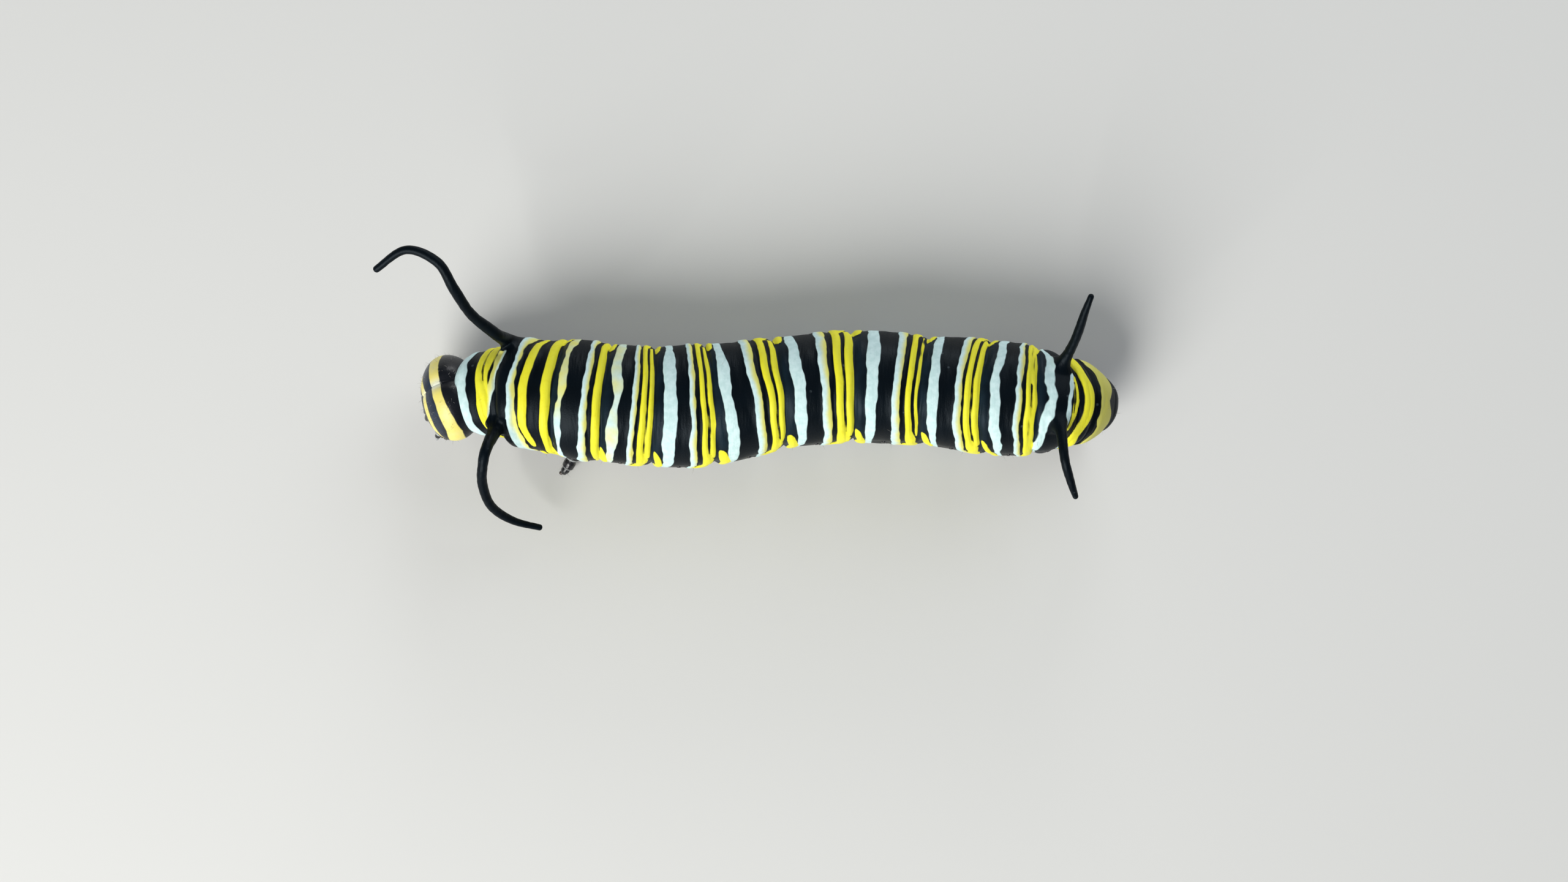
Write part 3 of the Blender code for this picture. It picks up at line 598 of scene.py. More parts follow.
def grow_feeler(place, waypoints, radii, steps, clear, number):
    """Open the back at a place and an angle from its midline, and draw the hide out."""
    waypoints = np.array(waypoints) + ORIGIN_SHIFT
    path = smooth_read(waypoints, np.linspace(0, len(waypoints) - 1, 800))
    row = int(np.argmin(np.abs(skin_places - place[0])))
    column = int(round((90 - place[1]) / 360 * SIDES))
    root, normal = skin_grid[row, column], outward(row, column)
    # The path leaves the skin square to it and bends over onto the measured one.
    join = np.argmax(np.linalg.norm(path - root, axis=1) * ((path - root) @ normal > 0.3) > FEELER_BEND)
    gap = np.linalg.norm(path[join] - root)
    leave = (normal * 0.6 + (path[join] - root) / gap * 0.4) * gap
    arrive = unit(path[join + 4] - path[join - 4]) * gap
    share = np.linspace(0, 1, 60)[:-1, None]
    start = (root * (1 + 2 * share) * (1 - share) ** 2 + leave * share * (1 - share) ** 2
             + path[join] * share ** 2 * (3 - 2 * share) - arrive * share ** 2 * (1 - share))
    path = np.concatenate((start, path[join:]))
    run = np.concatenate(([0], np.cumsum(np.linalg.norm(np.diff(path, axis=0), axis=1))))
    total = run[-1]
    tall, wide = (int(round(FEELER_ROOT / np.linalg.norm(near - skin_grid[row, column])))
                  for near in (skin_grid[row + 1, column], skin_grid[row, column + 1]))
    rim = open_window(row - tall, row + tall, column - wide, column + wide)
    near_root = np.linalg.norm(skin - root, axis=1) - clear
    np.minimum(white, near_root, out=white)
    np.minimum(yellow, near_root, out=yellow)
    # The rings start as the window's rim, and turn with the path as it goes on.
    level_x = unit(np.cross(normal, (0, 0, 1.0)))
    level_y = np.cross(normal, level_x)
    rim_x, rim_y, rim_height = ((skin[rim] - root) @ way for way in (level_x, level_y, normal))
    turn, even = even_turns(np.arctan2(rim_y, rim_x))
    rim_radius = np.hypot(rim_y, rim_x)
    direction = normal
    rings, pigments = [], []
    shaft = total - FEELER_TIP
    ends = [shaft * (step / steps) ** 1.12 for step in range(1, steps + 1)]
    tips = [shaft + FEELER_TIP * math.sin(bend) for bend in (0.4, 0.8, 1.15, 1.4)]
    rng = np.random.default_rng(70 + number)
    kinks = [(rng.uniform(0.15, 0.95), rng.uniform(0.03, 0.07), rng.uniform(0, FULL_TURN))
             for _ in range(9)]
    for step, reach in enumerate(ends + tips):
        held_back = FEELER_EASE * reach / (reach + FEELER_EASE) * max(0, 1 - reach / 2.5)
        middle, ahead, behind = (np.array([np.interp(reach - held_back + shift, run, path[:, k])
                                           for k in range(3)]) for shift in (0, 0.08, -0.08))
        turned = min(1, reach / FEELER_SKIRT)
        turned = turned * turned * (3 - 2 * turned)
        heading = unit(normal * (1 - turned) + unit(ahead - behind) * turned)
        bend = Vector(direction).rotation_difference(Vector(heading))
        level_x, level_y = (np.array(bend @ Vector(way)) for way in (level_x, level_y))
        direction = heading
        share = min(1, reach / total)
        if share < 0.45:
            radius = radii[0] + (radii[1] - radii[0]) * (1 - (1 - share / 0.45) ** 2)
        else:
            radius = radii[1] + (radii[2] - radii[1]) * ((share - 0.45) / 0.55) ** 1.6
        if step >= steps:
            radius *= math.sqrt(max(0.02, 1 - ((reach - shaft) / FEELER_TIP) ** 2))
        spin = turn + (even - turn) * min(1, reach / 0.7)
        fold = sum(depth * math.exp(-((share - place) / 0.012) ** 2) * (0.6 + 0.4 * np.cos(spin - phase))
                   for place, depth, phase in kinks)
        radius = radius * (1 + 0.02 * np.sin(spin * 2 + reach * 3) + 0.012 * math.sin(reach * 19) - fold)
        hold = (1 - min(1, reach / FEELER_SKIRT)) ** 4
        radius = radius + (rim_radius - radius) * hold
        rise = rim_height * hold
        rings.append(middle + level_x * (radius * np.cos(spin))[:, None]
                     + level_y * (radius * np.sin(spin))[:, None] + direction * rise[:, None])
        pigments.append(under_limb(rings[-1], reach, root, normal, row, column, clear)
                        if reach < PATTERN_REACH else np.tile((-1.0, -1.0, 0.0), (len(rim), 1)))
    join_limb(rim, rings, pigments, path[-1])


for number, (place, waypoints, radii, steps, clear) in enumerate(FEELERS):
    grow_feeler(place, waypoints, radii, steps, clear, number)

# The whole hide as one mesh: the cells of its grid that no window takes, the limbs, and a
# fan that closes each end. Points that no face uses are dropped.
cell_rows, cell_columns = np.nonzero(~open_cells[:-1])
next_columns = (cell_columns + 1) % SIDES
skin_faces = np.stack((cell_rows * SIDES + cell_columns, cell_rows * SIDES + next_columns,
                       (cell_rows + 1) * SIDES + next_columns, (cell_rows + 1) * SIDES + cell_columns), 1)
tail_row = (skin_rows - 1) * SIDES
skin_faces = skin_faces.tolist() + limb_faces
skin_faces += [(point_count, (i + 1) % SIDES, i) for i in range(SIDES)]
skin_faces += [(point_count + 1, tail_row + i, tail_row + (i + 1) % SIDES) for i in range(SIDES)]
caps = [end.mean(0)[None] for end in (skin[:SIDES], skin[-SIDES:])]
all_points = np.concatenate([skin] + limb_points + caps)
all_pigment = np.concatenate([np.stack((white, yellow, cream), 1)] + limb_pigment
                             + [np.full((2, 3), -1.0)])
used = np.zeros(len(all_points), bool)
for face in skin_faces:
    used[list(face)] = True
renumber = np.cumsum(used) - 1
skin_mesh = bpy.data.meshes.new("skin")
skin_mesh.from_pydata((all_points[used] * MM).tolist(), [],
                      [[int(renumber[i]) for i in face] for face in skin_faces])
tints = np.zeros((len(all_points), 2))
tints[:len(skin), 0] = painted_sheen
tints[:len(skin), 1] = np.clip((grid_places - 11.85) / 0.5, 0, 1)


def write_fields(mesh, names, columns):
    """Keep a value for each point of a mesh under each name."""
    for name, values in zip(names, columns):
        field = mesh.attributes.new(name, "FLOAT", "POINT")
        field.data.foreach_set("value", values.astype(np.float32))


def face_outward(mesh):
    """Turn every face of a closed mesh to look outward."""
    bm = bmesh.new()
    bm.from_mesh(mesh)
    bmesh.ops.recalc_face_normals(bm, faces=bm.faces[:])
    bm.to_mesh(mesh)
    bm.free()


write_fields(skin_mesh, ("white", "yellow", "cream", "painted_sheen", "dull"), (*all_pigment[used].T, *tints[used].T))
face_outward(skin_mesh)
skin_mesh.shade_smooth()
skin_object = put("skin", skin_mesh)
skin_paint, skin_shader = begin_paint("banded_skin", 0.42, 0.10)


def add_node(kind, inputs, output=0, **properties):
    """Add a node, set its properties, and give each input a value or wire it."""
    node = nodes.new(kind)
    for name, value in properties.items():
        setattr(node, name, value)
    for name, value in inputs.items():
        if isinstance(value, bpy.types.NodeSocket):
            links.new(value, node.inputs[name])
        else:
            node.inputs[name].default_value = (*value, 1.0) if isinstance(value, tuple) else value
    return node.outputs[output]


def math_node(operation, first, second):
    return add_node("ShaderNodeMath", {0: first, 1: second}, operation=operation)


def mix_node(factor, first, second):
    """Blend two colours; their inputs are the seventh and eighth of the node."""
    return add_node("ShaderNodeMix", {"Factor": factor, 6: first, 7: second}, 2, data_type="RGBA")


def step_node(value, low, high):
    """A soft step from 0 at one value to 1 at another."""
    return add_node("ShaderNodeMapRange", {"From Min": low, "From Max": high, "Value": value}, "Result",
                    interpolation_type="SMOOTHSTEP")


def noise_node(scale, detail, stretch=(1, 1, 1)):
    """Noise on the piece's own coordinates in millimetres, stretched along each axis."""
    place = add_node("ShaderNodeTexCoord", {}, "Object")
    place = add_node("ShaderNodeMapping", {"Vector": place, "Scale": [part / MM for part in stretch]})
    return add_node("ShaderNodeTexNoise", {"Vector": place, "Scale": scale, "Detail": detail}, "Fac")


def field_node(name, shift=None, amount=0.0):
    """A value kept on the mesh, shifted by noise where its edge is to be ragged."""
    value = add_node("ShaderNodeAttribute", {}, "Fac", attribute_name=name)
    return value if shift is None else math_node("ADD", value, math_node("MULTIPLY", shift, amount))


def add_bump(shader, height, strength, distance):
    """Roughen a shader by a height, with the depth of the relief in millimetres."""
    relief = {"Strength": strength, "Distance": distance * MM, "Height": height}
    links.new(add_node("ShaderNodeBump", relief, "Normal"), shader.inputs["Normal"])


shift = math_node("SUBTRACT", noise_node(1.7, 1.0), 0.5)
white_mask = step_node(field_node("white", shift, 0.16), 0.012, 0.048)
yellow_mask = step_node(field_node("yellow", shift, 0.05), -0.012, 0.020)
mottle = noise_node(1.1, 2.0)
black = mix_node(mottle, (0.0009, 0.0020, 0.0031), (0.0022, 0.0052, 0.0088))
# Painted bluish sheen: the black turns lighter blue-black beside the folds.
black = mix_node(math_node("MULTIPLY", field_node("painted_sheen"), mottle), black, (0.010, 0.024, 0.038))
# Tiny grey spots on the black: pale bristle bases, and partly painted glints.
spots = add_node("ShaderNodeTexVoronoi", {"Vector": add_node("ShaderNodeTexCoord", {}, "Object"),
                                          "Scale": 1500.0}, "Distance")
spot_mask = math_node("MULTIPLY", step_node(spots, 0.11, 0.06), step_node(noise_node(0.9, 1.0), 0.44, 0.56))
black = mix_node(spot_mask, black, (0.035, 0.045, 0.052))
turn_yellow = step_node(field_node("cream", shift, 0.6), 0.27, 0.88)
mealy = noise_node(4.5, 3.0)
chalk = mix_node(step_node(mealy, 0.34, 0.66), (0.55, 0.755, 0.75), (0.65, 0.845, 0.845))
pale = mix_node(turn_yellow, chalk, (0.77, 0.75, 0.19))
pale = mix_node(math_node("MULTIPLY", field_node("dull"), 0.5), pale, (0.34, 0.31, 0.045))
lemon = mix_node(mottle, (0.88, 0.835, 0.026), (0.80, 0.765, 0.056))
lemon = mix_node(math_node("MULTIPLY", step_node(mealy, 0.50, 0.70), 0.35), lemon, (0.78, 0.69, 0.022))
coloured = mix_node(white_mask, black, pale)
coloured = mix_node(yellow_mask, coloured, lemon)
links.new(coloured, skin_shader.inputs["Base Color"])
skin_shader.inputs["Specular Tint"].default_value = (0.76, 0.90, 1.0, 1)
wrinkles, grain = noise_node(1.6, 3.0, (7.0, 1.0, 1.0)), noise_node(15.0, 4.0)
relief = math_node("ADD", math_node("MULTIPLY", wrinkles, 1.6), math_node("MULTIPLY", grain, 0.6))
marked = math_node("MAXIMUM", white_mask, yellow_mask)
add_bump(skin_shader, math_node("ADD", relief, math_node("MULTIPLY", marked, 0.8)), 0.34, 0.03)
skin_mesh.materials.append(skin_paint)

SEGMENT_NODES = ["thorax_1", "thorax_2", "thorax_3"] + [f"abdomen_{i}" for i in range(1, 11)]
PROLEG_NODES = [f"proleg_{i}_{side}" for i in (3, 4, 5, 6) for side in ("left", "right")]
FEELER_NODES = [f"tentacle_front_{side}_{part}" for side in ("left", "right")
                for part in ("base", "middle", "tip")]
FEELER_NODES += [f"tentacle_rear_{side}_{part}" for side in ("left", "right") for part in ("base", "tip")]
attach(skin_object, "root")
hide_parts(*SEGMENT_NODES, "anal_plate", *PROLEG_NODES, "anal_proleg_left",
            "anal_proleg_right", *FEELER_NODES)

# Head: a hard horn capsule in two rounded cheeks, with a furrow down the crown that
# forks round the brow plate. It is one shell, sunk into the soft collar of the neck.
HEAD_CENTRE = Vector((-13.40, 0.25, 2.60)) + Vector(ORIGIN_SHIFT)
HEAD_TURN = (Matrix.Rotation(math.radians(14), 3, "Z") @ Matrix.Rotation(math.radians(-20), 3, "X")
             @ Matrix.Rotation(math.radians(9), 3, "Y"))
HEAD_DEPTH = 1.40
HEAD_WIDTH = 1.85
HEAD_HEIGHT = 1.70
CROWN_GROOVE = 0.16
FACE_FLATNESS = 0.89
# Middle of each yellow mark: how far forward the outer one runs at each level, and how
# far out the inner one runs on the face; levels go from the mouth, -1, to the crown, 1.
# The breadths are half of each mark's, in millimetres.
OUTER_MARK = ((-0.80, 0.08), (-0.30, 0.02), (0.20, 0.10), (0.70, 0.34), (0.93, 0.50), (1.00, 0.52))
OUTER_BREADTH = ((-0.7, 0.26), (-0.2, 0.40), (0.6, 0.36), (1.0, 0.30))
INNER_MARK = ((-0.62, 0.80), (-0.35, 0.78), (-0.08, 0.68), (0.16, 0.50), (0.34, 0.26), (0.42, 0.0))
INNER_BREADTH = 0.190
BROW_PLATE = ((-0.55, 0.46), (0.30, 0.0))


def head_points(directions, lift=0.0):
    """Points of the capsule toward each direction from its middle: ahead, right, up."""
    ahead, side, level = directions.T
    across = np.abs(side)
    cheeks = 1.0 + 0.06 * np.exp(-((level + 0.25) / 0.5) ** 2)
    flat = np.where(ahead > 0, FACE_FLATNESS, 1.0)
    groove = CROWN_GROOVE * np.exp(-(side / 0.16) ** 2) * np.maximum(0, level + 0.15)
    jaw = 1.0 - 0.22 * np.maximum(0, -level - 0.25)
    suture = 0.035 * np.exp(-(side / 0.018) ** 2) * np.clip((level - 0.26) * 8, 0, 1)
    plate = np.interp(level, *zip(*BROW_PLATE))
    fork = np.exp(-((across - plate) / 0.025) ** 2) * np.clip(ahead * 4, 0, 1)
    fork = 0.030 * fork * np.clip((0.36 - level) * 12, 0, 1) * np.clip((level + 0.62) * 12, 0, 1)
    lip_line = 0.02 * np.exp(-((level + 0.56) / 0.03) ** 2) * np.clip(ahead - 0.6, 0, 1) * 3
    lift = lift - suture - fork - lip_line
    dent = groove * 0.35 * np.maximum(0, ahead)
    local = np.stack((-(HEAD_DEPTH * ahead * flat * jaw + lift * ahead) + dent,
                      HEAD_WIDTH * side * cheeks * jaw + lift * side,
                      HEAD_HEIGHT * level * (1 - groove * 0.6) + lift * level), 1)
    return local @ np.array(HEAD_TURN).T + np.array(HEAD_CENTRE)


def head_spot(azimuth, level, lift=0.0):
    """One point of the capsule, by its turn from straight ahead and its level."""
    around = math.sqrt(1 - level * level)
    direction = np.array([[around * math.cos(azimuth), around * math.sin(azimuth), level]])
    return head_points(direction, lift)[0]


head_bm = bmesh.new()
bmesh.ops.create_icosphere(head_bm, subdivisions=7, radius=1.0)
head_mesh = bpy.data.meshes.new("head_shell")
head_bm.to_mesh(head_mesh)
head_bm.free()
ball = np.array([vert.co for vert in head_mesh.vertices])
ball /= np.linalg.norm(ball, axis=1)[:, None]
ahead = ball * np.array((-1, 1, 1))
head_mesh.vertices.foreach_set("co", (head_points(ahead) * MM).ravel())
outer = np.interp(ahead[:, 2], *zip(*OUTER_MARK))
breadth = np.interp(ahead[:, 2], *zip(*OUTER_BREADTH))
mark = np.minimum(breadth - np.abs(ahead[:, 0] - outer) * 1.5, (ahead[:, 2] + 0.62) * 1.7)
inner_line = np.array([(side, level) for level, side in INNER_MARK])
face = np.stack((np.abs(ahead[:, 1]), ahead[:, 2]), 1)
nearest = np.full(len(face), 9.0)
for start, stop in zip(inner_line, inner_line[1:]):
    share = np.clip(((face - start) @ (stop - start)) / ((stop - start) @ (stop - start)), 0, 1)
    nearest = np.minimum(nearest, np.linalg.norm(face - start - share[:, None] * (stop - start), axis=1))
mark = np.maximum(mark, np.where(ahead[:, 0] > 0, INNER_BREADTH - nearest * 1.7, -1))
# Painted highlight: a pale line down the crown's furrow, kept as a field.
crown = np.exp(-(ahead[:, 1] / 0.11) ** 2) * np.clip(ahead[:, 2] + 0.2, 0, 1)
# Painted bluish sheen toward the front of the face, kept as a field.
front = np.clip((ahead[:, 0] - 0.25) / 0.35, 0, 1) * np.clip((ahead[:, 2] + 0.2) / 0.3, 0, 1)
write_fields(head_mesh, ("yellow", "crown", "front"), (mark, crown, front))
head_mesh.shade_smooth()
head_shell = put("head_shell", head_mesh)
head_paint, head_shader = begin_paint("head_capsule", 0.34, 0.30)
shift = math_node("SUBTRACT", noise_node(2.4, 2.0), 0.5)
yellow_mask = step_node(field_node("yellow", shift, 0.10), -0.03, 0.03)
mottle = noise_node(3.0, 3.0)
horn = mix_node(mottle, (0.002, 0.003, 0.004), (0.008, 0.010, 0.016))
straw = mix_node(mottle, (0.84, 0.72, 0.12), (0.80, 0.73, 0.30))
# Painted bluish sheen: the black horn turns blue-grey toward the front of the face.
horn = mix_node(math_node("MULTIPLY", field_node("front"), mottle), horn, (0.030, 0.048, 0.085))
# Painted highlight: the yellow pales to near white along the crown's furrow.
straw = mix_node(field_node("crown"), straw, (0.74, 0.76, 0.62))
links.new(mix_node(yellow_mask, horn, straw), head_shader.inputs["Base Color"])
add_bump(head_shader, noise_node(11.0, 3.0), 0.30, 0.03)
head_mesh.materials.append(head_paint)
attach(head_shell, "root")
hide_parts("head")

# Mouthparts: upper lip, jaws, feeler stubs, maxillae and the lower lip with its silk
# spout. Each is a short run of horn rings joined by pale skin, rooted in the capsule.


def ring_faces(rows, sides):
    """Faces between rings of points, each ring joined to the next."""
    return [(row * sides + i, row * sides + (i + 1) % sides, (row + 1) * sides + (i + 1) % sides,
             (row + 1) * sides + i) for row in range(rows - 1) for i in range(sides)]


def tube(path, stations, sides, rows=24, squash=1.0):
    """Points and faces of a closed tube along a smooth path. A station is the share of
    the way and the radius there; both ends are rounded to a point."""
    path = np.array(path, float)
    shares = np.linspace(0, 1, rows)
    middles = smooth_read(path, shares * (len(path) - 1))
    places, radii = (np.array(column) for column in zip(*stations))
    step = np.clip(np.searchsorted(places, shares, side="right") - 1, 0, len(places) - 2)
    part = (shares - places[step]) / (places[step + 1] - places[step])
    ease = 0.5 - 0.5 * np.cos(np.clip(part, 0, 1) * math.pi)
    radius = radii[step] + (radii[step + 1] - radii[step]) * ease
    spin = np.linspace(0, 2 * math.pi, sides, endpoint=False)
    points = []
    for number, middle in enumerate(middles):
        heading = unit(middles[min(number + 1, rows - 1)] - middles[max(number - 1, 0)])
        side = unit(np.cross(heading, (1, 0, 0.02)))
        front = np.cross(side, heading)
        points.append(middle + radius[number] * (side * np.cos(spin)[:, None]
                                                 + front * (squash * np.sin(spin))[:, None]))
    points = np.concatenate(points + [middles[:1], middles[-1:]])
    faces = ring_faces(rows, sides)
    faces += [(rows * sides, (i + 1) % sides, i) for i in range(sides)]
    last = (rows - 1) * sides
    faces += [(rows * sides + 1, last + i, last + (i + 1) % sides) for i in range(sides)]
    return points, faces


def make_shell(name, tubes, finishes, node_names):
    """One piece from several tubes; each tube names the finish that it takes."""
    points, faces, chosen = [], [], []
    count = 0
    for (tube_points, tube_faces), finish in tubes:
        points.append(tube_points)
        faces += [[i + count for i in face] for face in tube_faces]
        chosen += [finish] * len(tube_faces)
        count += len(tube_points)
    mesh = bpy.data.meshes.new(name)
    mesh.from_pydata((np.concatenate(points) * MM).tolist(), [], faces)
    for finish in finishes:
        mesh.materials.append(finish)
    mesh.polygons.foreach_set("material_index", chosen)
    face_outward(mesh)
    mesh.shade_smooth()
    piece = put(name, mesh)
    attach(piece, "root")
    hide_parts(*node_names)


def mottled_paint(name, roughness, specular, mottle, dark, light, grain=None):
    """A finish mottled between two colours. Mottle is a noise's scale and detail; grain is
    another's, then the strength of its bump and the depth in millimetres."""
    paint, shader = begin_paint(name, roughness, specular)
    links.new(mix_node(noise_node(*mottle), dark, light), shader.inputs["Base Color"])
    if grain:
        add_bump(shader, noise_node(*grain[:2]), *grain[2:])
    return paint


shell_paint = mottled_paint("leg_shell", 0.24, 0.55, (4.0, 3.0), (0.005, 0.005, 0.007),
                            (0.020, 0.019, 0.022), (14.0, 3.0, 0.25, 0.02))
# Pale soft joint skin; on the walking legs its pale rings are partly painted highlights.
joint_skin_and_highlight_paint = mottled_paint("joint_skin_and_highlight", 0.45, 0.5, (7.0, 2.0), (0.20, 0.22, 0.24),
                            (0.46, 0.48, 0.46), (20.0, 2.0, 0.3, 0.02))
claw_paint = mottled_paint("claw_horn", 0.22, 0.5, (6.0, 2.0), (0.016, 0.007, 0.004),
                           (0.050, 0.018, 0.008), (16.0, 2.0, 0.2, 0.01))
SHELL_FINISHES = (shell_paint, joint_skin_and_highlight_paint, claw_paint)
turn = np.array(HEAD_TURN)


def mouth_path(root, *steps):
    """A path from a root on the capsule by steps in the head's own directions."""
    return [root] + [root + turn @ np.array(step) for step in steps]


lip_root = head_spot(0, -0.55, -0.25)
lip_tubes = []
for side in (-1, 1):
    lobe = mouth_path(lip_root + turn @ np.array((0, side * 0.14, 0)), (-0.28, side * 0.02, -0.20),
                      (-0.40, side * 0.03, -0.52))
    lip_tubes.append((tube(lobe, ((0, 0.20), (0.5, 0.25), (0.85, 0.20), (1, 0.02)), 24, 20, 0.62), 0))
lip_tubes.append((tube(mouth_path(lip_root, (-0.16, 0, -0.10), (-0.26, 0, -0.24)),
                       ((0, 0.30), (0.7, 0.36), (1, 0.05)), 28, 14, 0.55), 1))
low_root = head_spot(0, -0.93, -0.35)
low_path = mouth_path(low_root, (-0.10, 0, -0.45), (-0.28, 0, -0.78))
lip_tubes.append((tube(low_path, ((0, 0.32), (0.35, 0.30), (0.42, 0.24), (0.72, 0.20), (0.80, 0.10),
                                  (0.98, 0.045), (1, 0.01)), 24, 30), 0))
lip_tubes.append((tube(low_path, ((0, 0.26), (0.34, 0.26), (0.40, 0.27), (0.46, 0.22), (0.60, 0.02),
                                  (1, 0.005)), 20, 30), 1))
for side in (-1, 1):
    root = head_spot(side * math.radians(62), -0.90, -0.30)
    path = mouth_path(root, (-0.14, side * 0.03, -0.40), (-0.30, -side * 0.02, -0.66))
    lip_tubes.append((tube(path, ((0, 0.26), (0.40, 0.25), (0.46, 0.19), (0.66, 0.17), (0.70, 0.11),
                                  (0.95, 0.07), (1, 0.01)), 20, 30), 0))
    lip_tubes.append((tube(path, ((0, 0.20), (0.41, 0.20), (0.45, 0.22), (0.52, 0.17), (0.68, 0.15),
                                  (0.72, 0.125), (0.80, 0.06), (1, 0.005)), 18, 30), 1))
make_shell("lips", lip_tubes, SHELL_FINISHES, ["head"])
for side, word in ((-1, "left"), (1, "right")):
    root = head_spot(side * math.radians(24), -0.84, -0.12)
    jaw_path = mouth_path(root, (-0.18, -side * 0.02, -0.28), (-0.30, -side * 0.15, -0.62))
    jaw_stations = ((0, 0.25), (0.35, 0.28), (0.75, 0.23), (0.93, 0.15), (1, 0.05))
    teeth = [(tube(jaw_path, jaw_stations, 26, 26, 0.80), 2)]
    for tooth in (-1.5, -0.5, 0.5, 1.5):
        tip = jaw_path[2] + turn @ np.array((tooth * 0.085, side * 0.02, 0.015 * tooth * tooth - 0.01))
        tooth_path = [tip + turn @ np.array((0, shift, drop))
                      for shift, drop in ((0, 0.14), (0, 0), (-side * 0.03, -0.07))]
        teeth.append((tube(tooth_path, ((0, 0.06), (0.5, 0.055), (1, 0.01)), 10, 8), 2))
    make_shell("jaw_" + word, teeth, SHELL_FINISHES, ["mandible_" + word])
    root = head_spot(side * math.radians(44), -0.66, -0.10)
    feeler_path = mouth_path(root, (-0.17, side * 0.10, -0.22), (-0.28, side * 0.16, -0.48),
                             (-0.36, side * 0.18, -0.82))
    make_shell("antenna_" + word, [
        (tube(feeler_path, ((0, 0.20), (0.34, 0.20), (0.44, 0.15), (0.50, 0.02), (1, 0.004)), 20, 34), 1),
        (tube(feeler_path, ((0, 0.02), (0.36, 0.10), (0.42, 0.135), (0.62, 0.13), (0.70, 0.05),
                            (1, 0.004)), 20, 40), 0),
        (tube(feeler_path, ((0, 0.02), (0.62, 0.06), (0.68, 0.085), (0.84, 0.07), (0.92, 0.02),
                            (1, 0.006)), 18, 40), 1)],
        SHELL_FINISHES, ["antenna_" + word])

# Walking legs: three pairs of hard jointed legs under the thorax, hip, thigh, shin, foot
# and a hooked claw, with a pale ring of soft skin at each joint that is partly a painted highlight.
# Each is its place along the body, its distance from the midline at the hip, the knee and
# the claw, and how far forward it reaches, all in millimetres.
LEGS = (
    ("leg_1", -11.62, 0.62, 1.20, 1.05, 0.60),
    ("leg_2", -9.80, 0.85, 1.78, 1.68, 0.75),
    ("leg_3", -7.95, 1.40, 2.72, 3.05, 0.90),
)
RIGHT_LEG_TUCK = 0.80
LEG_SHARES = (0.0, 0.16, 0.34, 0.44, 0.62, 0.72, 0.90, 1.0)
LEG_HEIGHTS = (1.0, 0.82, 0.64, 0.56, 0.38, 0.30, 0.12, 0.0)
# Each part of a leg: where it starts and ends, its radius at the start, in the middle
# and at the end, and its finish.
LEG_PARTS = (
    (-0.16, 0.20, 0.46, 0.47, 0.40, 0), (0.14, 0.22, 0.30, 0.36, 0.30, 1),
    (0.17, 0.46, 0.33, 0.34, 0.33, 0), (0.40, 0.49, 0.22, 0.29, 0.22, 1),
    (0.44, 0.71, 0.25, 0.27, 0.26, 0), (0.66, 0.74, 0.16, 0.22, 0.16, 1),
    (0.69, 0.93, 0.19, 0.19, 0.15, 0), (0.88, 1.00, 0.10, 0.09, 0.03, 2),
)
back_line = smooth_read(centres, middle_line)


def belly_height(along, offset):
    """Height of the underside at a place along the body and a distance from its midline."""
    place = np.array([np.interp(along, back_line[:, 0], middle_line)])
    share = min(abs(offset) / smooth_read(half_widths, place)[0], 0.985)
    drop = math.sqrt(1 - share * share) ** BELLY_FLATNESS
    return smooth_read(centres, place)[0, 2] - smooth_read(half_heights, place)[0] * BELLY_DEPTH * drop


leg_paths = []
for side, word in ((-1, "left"), (1, "right")):
    for name, along, hip, knee, claw, reach in LEGS:
        tuck = RIGHT_LEG_TUCK if side > 0 else 1.0
        middle = np.interp(along, back_line[:, 0], back_line[:, 1])
        top = belly_height(along, hip) - 0.28

        def leg_point(share):
            spread = hip * (1 - share) ** 2 + 2 * knee * tuck * share * (1 - share) + claw * tuck * share ** 2
            height = top * np.interp(share, LEG_SHARES, LEG_HEIGHTS) + max(0, -share) * 4.5
            return np.array((along - reach * share, middle + side * spread, height)) + ORIGIN_SHIFT

        parts = []
        for first, last, at_start, at_middle, at_end, finish in LEG_PARTS:
            path = [leg_point(share) for share in np.linspace(first, last, 5)]
            if finish == 2:
                path = [point + np.array((-0.10 * bow, 0, 0.05 * bow))
                        for point, bow in zip(path, (0, 0.5, 0.8, 0.6, 0))]
                path[-1][2] = 0.03
            stations = ((0, at_start * 0.5), (0.08, at_start * 0.9), (0.45, at_middle), (0.86, at_end),
                        (0.96, at_end * 0.7), (1, at_end * 0.1))
            parts.append((tube(path, stations, 28 if finish < 2 else 14, 22), finish))
        make_shell(f"{name}_{word}_shell", parts, SHELL_FINISHES, [f"{name}_{word}"])
        leg_paths.append([leg_point(share) for share in np.linspace(0.05, 0.9, 30)])

# Small repeated pieces: eyes, breathing holes, the hooks of the feet and short bristles.
# Each is modelled once and set on its places, with its own turn and size.


